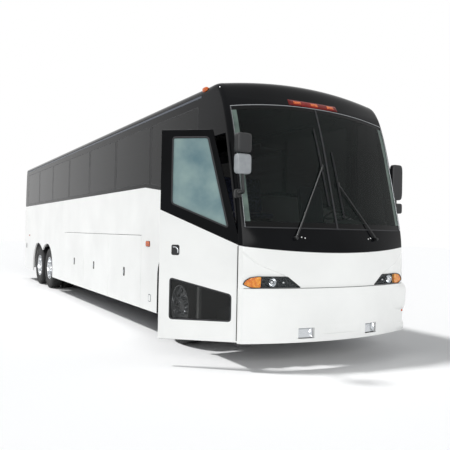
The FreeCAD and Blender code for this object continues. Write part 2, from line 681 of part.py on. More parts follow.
def panes(name, gap):
    """Both halves of the windscreen as prisms seen from the front."""
    corners = [(f"divider_half + {gap}", f"screen_bottom + {gap}"),
               (f"screen_half - {gap}", f"screen_bottom + {gap}"),
               (f"screen_half - {gap}", f"{SCREEN_TOP} - screen_drop - {gap}"),
               ("screen_half / 2", f"{SCREEN_TOP} - screen_drop / 4 - {gap}"),
               (f"divider_half + {gap}", f"{SCREEN_TOP} - {gap}")]
    return both(name, plate(name, "across", [corners], "-over", "over + cap_end"))


def driver_window(gap):
    """The driver's side window, seen from the side."""
    sill = f"driver_window_sill + {gap}"
    head = f"{WINDOW_TOP} - {gap}"
    rear = f"cap_end - window_post - {gap}"
    return [(f"driver_window_low + {gap}", sill), (rear, f"driver_window_rise + {sill}"),
            (rear, head), (f"driver_window_high + {gap}", head)]


def headlamps(name, gap):
    """Prisms of both headlamps: a swept outline, pointed towards the middle."""
    low, high = f"lamp_bottom + {gap}", f"lamp_top - {gap}"
    corners = [(f"lamp_inner + 3 * {gap}", low), ("lamp_outer - lamp_toe", low),
               (f"lamp_outer - {gap}", f"lamp_bottom + lamp_toe * 0.7"),
               ("lamp_outer - lamp_toe / 2", high), (f"lamp_inner + lamp_heel + {gap}", high)]
    return both(name, plate(name, "across", [corners], "-over", f"over + {BUMPER_BACK}"))


def make_bumpers():
    """The front bumper, proud of the nose, and the rear bumper under the tail. Returns the fog
    lamps, which lie flush in the front one."""
    stand = number("bumper_stand")
    ring = cut("bumper_ring", envelope("bumper_outer", 0, stand),
               envelope("bumper_inner", number("cap_thick"), stand))
    face = zone("bumper_zone", ("-over", "bumper_bottom"),
                (f"{BUMPER_BACK} - joint_gap", "bumper_top - joint_gap"))
    recess = box("plate_recess", ("-plate_half", "-over", "plate_low"),
                 ("plate_half", "recess_depth", "plate_high"))
    holes = [rod(f"plate_hole_{side}", "Y", "plate_hole",
                 (f"{side} * plate_pitch / 2", "-over", "(plate_low + plate_high) / 2"), "2 * over")
             for side in (-1, 1)]
    front = cut("front_bumper", common("bumper_bar", ring, face), recess, *fogs("fog_hole", "0"),
                *holes)
    back = common("rear_bumper", ring, zone("rear_bumper_zone", (TAIL, "skirt_bottom"),
                                            (FAR, "hatch_bottom - door_gap")))
    node("bumpers", front, back)
    return [common(f"{lamp.Name}_glass", ring, lamp) for lamp in fogs("fog", "joint_gap")]


def fogs(name, gap):
    """Prisms of both fog lamps."""
    return both(name, box(name, (f"fog_inner + {gap}", "-over", f"fog_low + {gap}"),
                          (f"fog_outer - {gap}", "over", f"fog_high - {gap}")))


def rear_prism(name, inner, low, outer, high):
    """A box through the rear face between two widths and two heights."""
    return box(name, (inner, f"{TAIL} - over", low), (outer, FAR, high))


def make_rear(rear, outer, inner, glazing):
    """The white and black rear panels, the engine door, the rear window and the tail lamps."""
    hatch = rear_prism("hatch_hole", "-hatch_half", "hatch_bottom", "hatch_half", "hatch_top")
    low = zone("rear_low_zone", ("0", "hatch_bottom - door_gap + joint_gap"), (FAR, "belt_height"))
    tails = both("tail_hole", rear_prism("tail_hole", "tail_inner", "tail_low", "tail_outer",
                                         "tail_high"))
    flange_zone = rear_prism("jamb_zone", "-hatch_half - jamb", "hatch_bottom + jamb / 2",
                             "hatch_half + jamb", "hatch_top + jamb")
    flange_hole = rear_prism("jamb_hole", "-hatch_half + jamb", "hatch_bottom + 2 * jamb",
                             "hatch_half - jamb", "hatch_top - jamb")
    flange = cut("jamb_ring", common("jamb_outer", inner, flange_zone),
                 envelope("jamb_inner", number("cap_thick + jamb / 2")), flange_hole)
    panel = cut("rear_low", common("rear_low_shell", rear, low), hatch, *tails)
    node("rear_panel", fuse("rear_low_jamb", panel, flange))
    window = rear_prism("rear_hole", "-rear_window_half", REAR_LOW, "rear_window_half", REAR_HIGH)
    high = zone("rear_high_zone", ("0", "belt_height"), (FAR, HIGH))
    node("rear_mask", cut("rear_high", common("rear_high_shell", rear, high), window))
    lenses = both("tail_zone", rear_prism("tail_zone", "tail_inner + joint_gap",
                                          "tail_low + joint_gap", "tail_outer - joint_gap",
                                          "tail_high - joint_gap"))
    node("tail_lamps", *(common(f"{lens.Name}_lens", rear, lens) for lens in lenses))
    make_engine_door(outer)
    return common("rear_pane", glazing, rear_prism(
        "rear_pane_zone", "-rear_window_half + joint_gap", f"{REAR_LOW} + joint_gap",
        "rear_window_half - joint_gap", f"{REAR_HIGH} - joint_gap"))


def make_engine_door(outer):
    """The engine door: louvred, and hung from two hinges outside its upper edge."""
    leaf_zone = rear_prism("hatch_zone", "-hatch_half + door_gap", "hatch_bottom + door_gap",
                           "hatch_half - door_gap", "hatch_top - door_gap")
    shell = cut("leaf_shell", outer, envelope("leaf_inner", number("cap_thick - joint_gap")))
    slots = [rear_prism(f"louvre_{index}", "-louvre_half", f"louvre_low + louvre_pitch * {index}",
                        "louvre_half", f"louvre_low + louvre_pitch * {index} + louvre_open")
             for index in range(int(number("louvre_count")))]
    parts = [cut("engine_leaf", common("leaf_skin", shell, leaf_zone), *slots)]
    for name, middle in (("left", "hatch_hinge_x"), ("right", "-hatch_hinge_x")):
        low, high = f"{middle} - hatch_hinge_half", f"{middle} + hatch_hinge_half"
        axis = "coach_length - hatch_hinge"
        parts.append(rod(f"hatch_knuckle_{name}", "X", "hatch_hinge", (low, axis, "hatch_top"),
                         "2 * hatch_hinge_half"))
        parts.append(box(f"hatch_strap_{name}", (low, "coach_length - cap_thick", "hatch_top - jamb"),
                         (high, axis, "hatch_top")))
    clear = rear_prism("strap_clear", "-hatch_half", "hatch_top - door_gap", "hatch_half", "hatch_top")
    strapless = common("strap_slot", clear, outer)
    node("engine_door", cut("engine_door_solid", fuse("engine_door_raw", *parts), strapless))


def make_sides():
    """The side walls: white panels below the belt line, the black window band and its glass."""
    strip = plate("side_strip", "along", [[
        ("cap_end", "seam_height"), (TAIL, "seam_height"), (TAIL, "belt_height"),
        ("belt_bend_high", "belt_height"), ("belt_bend_low", "belt_low_height"),
        ("cap_end", belt_at("cap_end"))]], WALL_START, "side_thick")
    node("side_panels_upper", *both("side_strip", strip))
    fore = plate("side_fore", "along", [around("cap_end", "bay_start - door_gap / 2",
                                               "skirt_bottom", "seam_height")],
                 WALL_START, "side_thick")
    aft = plate("side_aft", "along", [around(f"{BAY_END} + door_gap / 2", TAIL,
                                             "skirt_bottom", "seam_height")],
                WALL_START, "side_thick")
    fore = cut("side_fore_panel", fore, front_arch_tool())
    aft = cut("side_aft_panel", aft, rear_arch_tool())
    node("side_panels_lower", *both("side_fore", fore), *both("side_aft", aft))
    band = [("cap_end", belt_at("cap_end")), ("belt_bend_low", "belt_low_height"),
            ("belt_bend_high", "belt_height"), (TAIL, "belt_height"),
            (TAIL, ROOF_EDGE), ("cap_end", ROOF_EDGE)]
    holes = [side_window(index, "0") for index in range(int(number("window_count")))]
    windows = plate("window_band", "along", [band] + holes, WALL_START, "side_thick")
    node("window_bands", *both("window_band", windows))


def side_panes():
    """The panes of the side windows, flush with the skin."""
    start = "half_width - glass_thick"
    glass = [plate("driver_pane", "along", [driver_window("joint_gap")], start, "glass_thick")]
    for index in range(int(number("window_count"))):
        glass += both(f"side_pane_{index}", plate(f"side_pane_{index}", "along",
                                                  [side_window(index, "joint_gap")], start,
                                                  "glass_thick"))
    return glass


def side_window(index, gap):
    """The outline of one passenger window, whose sill follows the belt line."""
    low = f"window_first + {WINDOW_PITCH} * {index} + {gap}"
    high = f"window_first + {WINDOW_PITCH} * {index + 1} - window_post - {gap}"
    sill = [(low, f"{belt_at(low)} + window_sill + {gap}")]
    for bend, height in (("belt_bend_low", "belt_low_height"), ("belt_bend_high", "belt_height")):
        if number(low) < number(bend) < number(high):
            sill.append((bend, f"{height} + window_sill + {gap}"))
    sill.append((high, f"{belt_at(high)} + window_sill + {gap}"))
    return sill + [(high, f"{WINDOW_TOP} - {gap}"), (low, f"{WINDOW_TOP} - {gap}")]


def make_roof():
    """The crowned roof between the ends, with its shoulders."""
    outer = roof_prism("roof_outer", 0, number("cap_end"), number(TAIL))
    inner = roof_prism("roof_inner", number("roof_thick"), number("cap_end - over"),
                       number(f"{TAIL} + over"))
    above = zone("roof_zone", ("0", ROOF_EDGE), (FAR, HIGH))
    node("roof_panel", common("roof", cut("roof_shell", outer, inner), above))


def door_outline(side_gap, height_gap):
    """The entrance door's outline in its opening, seen from the side. Its front edge stands
    upright up to the belt line and then leans back with the windscreen post."""
    front = f"door_hinge_y - door_thick / 2 - {side_gap}"
    back = f"cap_end - door_gap + {side_gap}"
    return [(front, f"door_bottom - {height_gap}"), (back, f"door_bottom - {height_gap}"),
            (back, f"{DOOR_TOP} + {height_gap}"),
            (f"{front} + door_slant", f"{DOOR_TOP} + {height_gap}"), (front, "door_slant_start")]


def make_door():
    """The entrance door, hinged at its front edge: a white lower panel, a black upper frame and
    two panes. It is built shut and then turned open."""
    slab = plate("door_slab", "along", [door_outline("0", "0")], "-half_width", "door_thick")
    front = "door_hinge_y - door_thick / 2"
    back = "cap_end - door_gap"
    edge = rod("door_edge", "Z", "door_thick / 2", (HINGE_X, "door_hinge_y", "door_bottom"),
               "door_slant_start - door_bottom")
    trim = box("door_trim", (f"-{WIDE}", f"{front} - 1", "door_bottom - over"),
               ("0", "door_hinge_y", "door_slant_start"))
    rounded = fuse("door_rounded", cut("door_flat", slab, trim), edge)
    fore, aft = f"{front} - over", f"{back} + over"
    low = plate("door_low_zone", "along", [[
        (fore, "0"), (aft, "0"), (aft, "door_line_rear"), (back, "door_line_rear"),
        ("door_hinge_y", "door_slant_start"), (fore, "door_slant_start")]], f"-{WIDE}", WIDE)
    high = plate("door_high_zone", "along", [[
        (fore, "door_slant_start"), ("door_hinge_y", "door_slant_start"),
        (back, "door_line_rear"), (aft, "door_line_rear"), (aft, HIGH), (fore, HIGH)]],
        f"-{WIDE}", WIDE)
    bore = rod("door_bore", "Z", "hinge_pin + pin_clearance",
               (HINGE_X, "door_hinge_y", "door_bottom - door_gap"),
               "door_slant_start - door_bottom - door_thick")
    lower_hole = plate("door_low_hole", "along", [door_pane_low("0")], f"-{WIDE}", WIDE)
    upper_hole = plate("door_high_hole", "along", [door_pane_high("0")], f"-{WIDE}", WIDE)
    panel = cut("door_panel_solid", common("door_low", rounded, low), lower_hole, bore)
    frame = cut("door_frame_solid", common("door_high", rounded, high), upper_hole)
    panes = [plate(f"door_pane_{name}", "along", [outline], "-half_width + door_rebate",
                   "glass_thick")
             for name, outline in (("low", door_pane_low("joint_gap")),
                                   ("high", door_pane_high("joint_gap")))]
    for label, solids in (("door_panel", [panel]), ("door_frame", [frame]), ("door_glass", panes)):
        swung(label, *solids)
    under = "bumper_bottom - joint_gap"
    bracket = box("hinge_bracket", ("-half_width + door_rebate", f"door_hinge_y - {BRACKET}",
                                    f"{under} - bracket_thick"),
                  (f"-half_width + 2 * {BRACKET}", "door_hinge_y + door_thick / 2", under))
    pin = rod("hinge_shaft", "Z", "hinge_pin",
              (HINGE_X, "door_hinge_y", f"{under} - bracket_thick"),
              f"door_slant_start - 2 * door_thick - ({under} - bracket_thick)")
    node("door_hinge", fuse("hinge", bracket, pin))


def swung(label, *solids):
    """A node of the entrance door, turned about the hinge from shut to its angle at rest."""
    at_axis = doc.addObject("Part::Compound", "shut_" + label)
    at_axis.Links = list(solids)
    place(at_axis, ("half_width - door_thick / 2", "-door_hinge_y", "0"))
    result = node(label, at_axis, spot=("-half_width + door_thick / 2", "door_hinge_y", "0"))
    result.setExpression(".Placement.Rotation.Angle", bound("door_open"))


def door_pane_low(gap):
    """The lower pane of the entrance door, whose upper edge slants."""
    back = f"cap_end - door_gap - door_lock_stile - {gap}"
    front = f"door_hinge_y + door_stile + {gap}"
    return [(front, f"door_pane_bottom + {gap}"), (back, f"door_pane_bottom + {gap}"),
            (back, f"door_pane_rear - {gap}"), (front, f"door_pane_front - {gap}")]


def door_pane_high(gap):
    """The upper pane of the entrance door, between its leaning front edge and slanted sill."""
    back = f"cap_end - door_gap - door_lock_stile - {gap}"
    front = f"door_hinge_y + door_stile * 1.6 + {gap}"
    head = f"{DOOR_TOP} - door_head - {gap}"
    return [(front, f"door_glass_front + {gap}"), (back, f"door_glass_rear + {gap}"),
            (back, head), (f"{front} + door_slant * 0.72", head)]


def make_bays():
    """The luggage doors, each hung from a round bead along its upper edge, with the floor and
    bulkheads behind them."""
    bead_x, bead_z = "half_width - bay_bead", "seam_height - door_gap - bay_bead"
    for index in range(int(number("bay_count"))):
        low = f"bay_start + {BAY_PITCH} * {index} + door_gap / 2"
        high = f"bay_start + {BAY_PITCH} * {index + 1} - door_gap / 2"
        slab = plate(f"bay_slab_{index + 1}", "along", [around(low, high, "skirt_bottom", bead_z)],
                     WALL_START, "side_thick")
        bead = rod(f"bay_bead_{index + 1}", "Y", "bay_bead", (bead_x, low, bead_z),
                   f"({high}) - ({low})")
        leaf = fuse(f"bay_leaf_{index + 1}", slab, bead)
        node(f"bay_door_left_{index + 1}", leaf)
        node(f"bay_door_right_{index + 1}", mirrored(f"bay_leaf_{index + 1}_far", leaf))
    reach = "half_width - side_thick - joint_gap"
    walls = []
    for index in range(int(number("bay_count")) + 1):
        middle = f"bay_start + {BAY_PITCH} * {index}"
        walls.append(box(f"bulkhead_{index}", (f"-({reach})", f"{middle} - bulkhead / 2", "bay_floor"),
                         (reach, f"{middle} + bulkhead / 2", "floor_top - floor_thick")))
    node("bulkheads", *walls)


def make_floors():
    """The passenger floor, the driver's floor and the entrance steps."""
    reach = "half_width - side_thick"
    inside = f"{reach} - joint_gap"
    slab = box("floor_slab", (f"-({inside})", "cockpit_end", "floor_top - floor_thick"),
               (inside, f"{TAIL} - bulkhead / 2", "floor_top"))
    hold = box("luggage_slab", (f"-({inside})", "bay_start - bulkhead / 2",
                                "bay_floor - floor_thick"),
               (inside, f"{BAY_END} + bulkhead / 2", "bay_floor"))
    node("floor_panels", slab, hold)
    rise = "(cockpit_floor - step_low) / 4"
    tread = f"({reach} - stair_inner) / 4"
    edges = [f"-({reach}) + {tread} * {index}" for index in range(5)]
    levels = [f"step_low + {rise} * {index}" for index in range(5)]
    outline = [(edges[0], "skirt_bottom"), (edges[0], levels[0])]
    for index in range(1, 5):
        outline += [(edges[index], levels[index - 1]), (edges[index], levels[index])]
    under = "cockpit_floor - floor_thick"
    outline += [(reach, levels[4]), (reach, under), (f"{edges[4]} + floor_thick", under)]
    for index in range(4, 1, -1):
        outline += [(f"{edges[index]} + floor_thick", f"{levels[index - 1]} - floor_thick"),
                    (f"{edges[index - 1]} + floor_thick", f"{levels[index - 1]} - floor_thick")]
    outline.append((f"{edges[1]} + floor_thick", "skirt_bottom"))
    stairs = plate("stair_profile", "across", [outline], "400", "cap_end - 400")
    low_deck, high_deck = "deck_top - floor_thick", "deck_top"
    parts = [
        stairs,
        box("stair_wall", (f"-({reach})", "cap_end", "skirt_bottom"),
            ("-stair_inner + floor_thick", "cap_end + 40", high_deck)),
        box("deck_kerb_side", (f"-({reach})", "cap_end", low_deck),
            ("-stair_inner", "cockpit_end", high_deck)),
        box("deck_driver_side", ("-stair_inner", "deck_start", low_deck),
            (reach, "cockpit_end", high_deck)),
        box("driver_floor", ("-stair_inner", "cap_end", under),
            (reach, "deck_start + 40", "cockpit_floor")),
        box("deck_riser", ("-stair_inner", "deck_start", under),
            (reach, "deck_start + 40", high_deck)),
        box("stair_side", ("-stair_inner - 40", "cap_end", under),
            ("-stair_inner", "deck_start + 40", high_deck)),
        box("floor_riser", (f"-({reach})", "cockpit_end - 40", low_deck),
            (reach, "cockpit_end", "floor_top")),
    ]
    node("cockpit_floor", fuse("cockpit", *parts))


WHEEL_X = "(half_width - wheel_inset - tyre_width / 2)"
KINGPIN_X = f"({WHEEL_X} - kingpin_in)"
SPINDLE = "hub_bore - pin_clearance"
TWIN = "(tyre_width + twin_gap)"


def lug(name, toward, low, height):
    """A lug round the kingpin with bevelled corners, whose arm reaches sideways."""
    radius, middle = "boss_radius", "front_axle_y"
    sign = "-" if toward > 0 else "+"
    arm = f"{KINGPIN_X} + ({toward}) * lug_arm"
    outline = [(arm, f"{middle} - {radius}"), (arm, f"{middle} + {radius}"),
               (f"{KINGPIN_X} {sign} {radius} / 2", f"{middle} + {radius}"),
               (f"{KINGPIN_X} {sign} {radius}", f"{middle} + {radius} / 2"),
               (f"{KINGPIN_X} {sign} {radius}", f"{middle} - {radius} / 2"),
               (f"{KINGPIN_X} {sign} {radius} / 2", f"{middle} - {radius}")]
    return plate(name, "level", [outline], low, height)


def make_running_gear():
    """Axles, knuckles, rims and tyres."""
    spot = (KINGPIN_X, "front_axle_y")
    parts = [box("front_beam", (f"-({KINGPIN_X})", "front_axle_y - beam_half",
                                "tyre_radius - beam_half"),
                 (KINGPIN_X, "front_axle_y + beam_half", "tyre_radius + beam_half"))]
    pin_half = "boss_half + lug_thick + joint_gap * 20"
    for name, solid in (
            ("axle_boss", lug("axle_boss", -1, "tyre_radius - boss_half", "2 * boss_half")),
            ("kingpin", rod("kingpin", "Z", "kingpin_radius",
                            (*spot, f"tyre_radius - ({pin_half})"), f"2 * ({pin_half})")),
            ("spring_seat", box("spring_seat", ("rail_x - spring_half", "front_axle_y - spring_half",
                                                "tyre_radius"),
                                ("rail_x + spring_half", "front_axle_y + spring_half",
                                 "rail_bottom - joint_gap")))):
        parts += both(name, solid)
    node("front_axle", fuse("front_axle_solid", *parts))
    make_knuckles()
    axles = []
    for name, axle, inner in (("drive", DRIVE_AXLE, f"{WHEEL_X} - tyre_width / 2 - {TWIN} + rim_in"),
                              ("tag", TAG_AXLE, f"{WHEEL_X} - tyre_width / 2 + rim_in")):
        end = f"{inner} - door_gap"
        reach = f"{WHEEL_X} + spindle_reach"
        parts = [rod(f"{name}_tube", "X", "axle_tube", (f"-({end})", axle, "tyre_radius"),
                     f"2 * ({end})"),
                 rod(f"{name}_spindle", "X", SPINDLE, (f"-({reach})", axle, "tyre_radius"),
                     f"2 * ({reach})")]
        parts += both(f"{name}_seat", box(
            f"{name}_seat", ("rail_x - spring_half", f"{axle} - spring_half", "tyre_radius"),
            ("rail_x + rail_half", f"{axle} + spring_half", "rail_bottom - joint_gap")))
        if name == "drive":
            parts.append(prism("banjo_housing", "Y", "banjo", ("0", f"{axle} - banjo", "tyre_radius"),
                               "2 * banjo", 12))
        axles.append(fuse(f"{name}_axle_solid", *parts))
    node("rear_axles", *axles)
    for name, axle, twin in (("front", "front_axle_y", False), ("drive", DRIVE_AXLE, True),
                             ("tag", TAG_AXLE, False)):
        make_wheel(name, axle, twin)


def make_knuckles():
    """The steering knuckles: two lugs on the kingpin, a web and the wheel spindle."""
    gap = "joint_gap * 16"
    lugs = [lug("lug_low", 1, f"tyre_radius - boss_half - lug_thick - {gap}", "lug_thick"),
            lug("lug_high", 1, f"tyre_radius + boss_half + {gap}", "lug_thick")]
    reach = f"boss_half + lug_thick + {gap}"
    start = f"{KINGPIN_X} + lug_arm - web_thick / 2"
    web = box("knuckle_web", (start, "front_axle_y - boss_radius", f"tyre_radius - ({reach})"),
              (f"{start} + web_thick", "front_axle_y + boss_radius", f"tyre_radius + {reach}"))
    spindle = rod("front_spindle", "X", SPINDLE, (start, "front_axle_y", "tyre_radius"),
                  f"{WHEEL_X} + spindle_reach - ({start})")
    bore = rod("kingpin_bore", "Z", "kingpin_radius + pin_clearance",
               (KINGPIN_X, "front_axle_y", "0"), "2 * tyre_radius")
    near, far = both("knuckle", cut("knuckle", fuse("knuckle_raw", *lugs, web, spindle), bore))
    node("knuckle_left", near)
    node("knuckle_right", far)


def prism(name, axis, radius, start, length, sides):
    """An upright prism with equal sides, along an axis from the middle of its first end."""
    solid = doc.addObject("Part::Prism", name)
    solid.Polygon = sides
    solid.setExpression("Circumradius", bound(radius))
    solid.setExpression("Height", bound(length))
    solid.Placement = Placement(Vector(), TURNS[axis])
    return place(solid, start)


def wheel_form(name, profile):
    """A form turned about X with flats in place of circles. The profile's corners are given
    across and out from the axis, and the last one joins the first."""
    count = int(number("flats"))
    grow = 1 / math.cos(math.pi / count)
    spots = [(number(across), number(radius) * grow) for across, radius in profile]
    turns = [2 * math.pi * (index + 0.5) / count for index in range(count + 1)]

    def spot(pair, turn):
        return Vector(pair[0], pair[1] * math.cos(turn), pair[1] * math.sin(turn))

    faces = []
    for pair, after in zip(spots, spots[1:] + spots[:1]):
        for start, end in zip(turns, turns[1:]):
            ring = [spot(pair, start), spot(after, start)]
            if after[1] > 0:
                ring.append(spot(after, end))
            if pair[1] > 0:
                ring.append(spot(pair, end))
            if len(ring) > 2:
                faces.append(Part.Face(Part.makePolygon(ring + ring[:1])))
    result = doc.addObject("Part::Feature", name)
    solid = Part.makeSolid(Part.makeShell(faces)).removeSplitter()
    if solid.Volume < 0:
        solid.reverse()
    result.Shape = solid
    return result


def make_wheel(name, axle, twin):
    """Both wheels of an axle: tyre and rim on the left, and their mirror images."""
    half, bore = "tyre_width / 2", "rim_radius + joint_gap"
    section = [(f"bead_in - {half}", bore), (f"-({half})", f"({bore} + tyre_radius) / 2"),
               (f"bead_in / 2 - {half}", "tyre_radius - shoulder_in"),
               (f"shoulder_in + bead_in - {half}", "tyre_radius")]
    section += [(f"-({across})", radius) for across, radius in reversed(section)]
    edge = f"{half} - rim_in"
    back = f"-({edge}) - {TWIN}" if twin else f"-({edge})"
    face, hub = ("-dish_twin", "hub_twin") if twin else ("dish_front", "hub_front")
    stop = "spindle_reach + door_gap"
    rim = [(back, "hub_bore"), (back, "rim_radius"), (edge, "rim_radius"), (edge, "well_radius"),
           (face, "well_radius"), (face, "hub_radius"), (hub, "hub_radius"), (hub, "0"),
           (stop, "0"), (stop, "hub_bore")]
    count = int(number("hand_holes"))
    holes = [prism(f"{name}_hand_hole_{index}", "X", "hand_size",
                   (f"{face} - hand_deep", f"hand_circle * cos({360 * index / count})",
                    f"hand_circle * sin({360 * index / count})"), "over", 6)
             for index in range(count)]
    wheel = (WHEEL_X, axle, "tyre_radius")
    solids = [placed(f"{name}_tyre_placed", wheel_form(f"{name}_tyre", section), wheel)]
    if twin:
        solids.append(placed(f"{name}_tyre_inner_placed", wheel_form(f"{name}_tyre_inner", section),
                             (f"{WHEEL_X} - {TWIN}", axle, "tyre_radius")))
    near = placed(f"{name}_rim_placed", cut(f"{name}_rim", wheel_form(f"{name}_rim_raw", rim), *holes),
                  wheel)
    node(f"{name}_tyre_left", *solids)
    node(f"{name}_tyre_right", *(mirrored(f"{solid.Name}_far", solid) for solid in solids))
    node(f"{name}_rim_left", near)
    node(f"{name}_rim_right", mirrored(f"{name}_rim_far", near))


def placed(name, solid, spot):
    """The solid moved from the origin to its place."""
    result = doc.addObject("Part::Compound", name)
    result.Links = [solid]
    return place(result, spot)


def make_frame():
    """The longitudinal rails over the axles and the engine block they carry."""
    rails = []
    for name, low, high in (("fore", "cap_end + cap_thick", "bay_start - bulkhead / 2"),
                            ("aft", f"{BAY_END} + bulkhead / 2", f"{TAIL} - bulkhead / 2")):
        rails += both(f"rail_{name}", box(f"rail_{name}", ("rail_x - rail_half", low, "rail_bottom"),
                                          ("rail_x + rail_half", high, "rail_bottom + rail_depth")))
    node("frame_rails", *rails)
    half = "rail_x - rail_half - joint_gap"
    end = f"{TAIL} - engine_behind"
    node("engine_block", box("engine", (f"-({half})", f"{end} - engine_length", "engine_bottom"),
                             (half, end, "engine_bottom + engine_height")))


def make_seats():
    """Double seats in rows on both sides of the aisle, the driver's seat and the parcel racks."""
    profile = [("seat_foot", "joint_gap"), ("seat_depth - 70", "joint_gap"),
               ("seat_depth", "seat_height - seat_pad"),
               ("seat_depth + seat_rake", "seat_back_height"),
               ("seat_depth + seat_rake - 100", "seat_back_height"),
               ("seat_depth - 90", "seat_height"), ("0", "seat_height"),
               ("0", "seat_height - seat_pad")]
    seats = []
    for index in range(int(number("row_count"))):
        outline = [(f"row_first + {ROW_PITCH} * {index} + {u}", f"floor_top + {v}")
                   for u, v in profile]
        near = plate(f"seat_{index}", "along", [outline], "aisle_half", "seat_width")
        seats += both(f"seat_{index}", near)
    driver = [(f"driver_seat_y + {u}", f"cockpit_floor + {v}") for u, v in profile]
    seats.append(plate("driver_seat", "along", [driver], "driver_x - driver_seat / 2", "driver_seat"))
    node("seats", *seats)
    wall = "half_width - side_thick - joint_gap"
    shelf = [(wall, "rack_low"), ("rack_in", "rack_low + rack_thick"),
             ("rack_in", "rack_low + rack_lip"), ("rack_in + rack_thick", "rack_low + rack_lip"),
             ("rack_in + rack_thick", "rack_low + 2 * rack_thick"), (wall, "rack_low + rack_thick")]
    node("parcel_racks", *both("rack", plate("rack", "across", [shelf], "row_first",
                                             f"{TAIL} - row_tail - row_first")))


def make_cockpit():
    """The dash behind the windscreen, and the steering wheel on its column."""
    profile = [("dash_y", "joint_gap"), ("dash_y + dash_foot", "joint_gap"),
               ("dash_y + dash_foot * 1.4", "dash_height / 2"),
               ("dash_y + dash_reach", "dash_height * 0.86"),
               ("dash_y + dash_reach * 0.82", "dash_height"), ("dash_y", "dash_height * 0.94")]
    dash = plate("dash_profile", "along", [[(u, f"cockpit_floor + {v}") for u, v in profile]],
                 "-stair_inner + door_thick", "half_width - 3 * side_thick + stair_inner")
    back = f"-(wheel_boss_deep + joint_gap)"
    column = cut("column", rod("column_tube", "X", "column_radius",
                               (f"{back} - column_length", "0", "0"), "column_length"),
                 rod("column_bore", "X", "shaft_radius + pin_clearance",
                     (f"{back} - shaft_length", "0", "0"), "2 * shaft_length"))
    node("dashboard", fuse("dash", dash, tilted("column_tilted", column)))
    ring = wheel_form("wheel_ring", [("-wheel_grip", "wheel_radius - 2 * wheel_grip"),
                                     ("-wheel_grip", "wheel_radius"), ("wheel_grip", "wheel_radius"),
                                     ("wheel_grip", "wheel_radius - 2 * wheel_grip")])
    spoke = box("wheel_spoke", ("-wheel_grip * 0.8", "wheel_grip - wheel_radius", "-wheel_grip * 1.5"),
                ("wheel_grip * 0.8", "wheel_radius - wheel_grip", "wheel_grip * 1.5"))
    post = box("wheel_post", ("-wheel_grip * 0.8", "-wheel_grip * 1.5", "wheel_grip - wheel_radius"),
               ("wheel_grip * 0.8", "wheel_grip * 1.5", "0"))
    boss = box("wheel_boss", ("-wheel_boss_deep", "-column_radius", "-column_radius"),
               ("wheel_grip * 1.5", "column_radius", "column_radius"))
    shaft = rod("wheel_shaft", "X", "shaft_radius", ("-wheel_boss_deep - shaft_length * 0.9", "0", "0"),
                "shaft_length * 0.9 + wheel_boss_deep")
    node("steering_wheel", tilted("wheel_tilted", fuse("wheel_flat", ring, spoke, post, boss, shaft)))


def tilted(name, solid):
    """A piece of the steering, modelled along X, turned to the column's slope and moved to its
    place in front of the driver."""
    result = doc.addObject("Part::Compound", name)
    result.Links = [solid]
    result.Placement = Placement(Vector(), Rotation(Vector(0, 0, 1), 90)
                                 * Rotation(Vector(0, 1, 0), -number("column_slope")))
    return place(result, ("driver_x", "wheel_y", "cockpit_floor + wheel_height"))


def mirror_head(name, low_x, low_y, low_z, height):
    """A mirror housing seen from above: flat behind, rounded in front."""
    high_x, deep = f"{low_x} + mirror_width", f"{low_y} + mirror_deep"
    waist, nose = f"{low_y} + mirror_deep * 0.6", f"{low_y} + mirror_deep * 0.12"
    outline = [(low_x, deep), (high_x, deep), (high_x, waist),
               (f"{high_x} - mirror_width / 8", nose), (f"{high_x} - mirror_width * 0.3", low_y),
               (f"{low_x} + mirror_width * 0.3", low_y), (f"{low_x} + mirror_width / 8", nose),
               (low_x, waist)]
    return plate(name, "level", [outline], low_z, height)


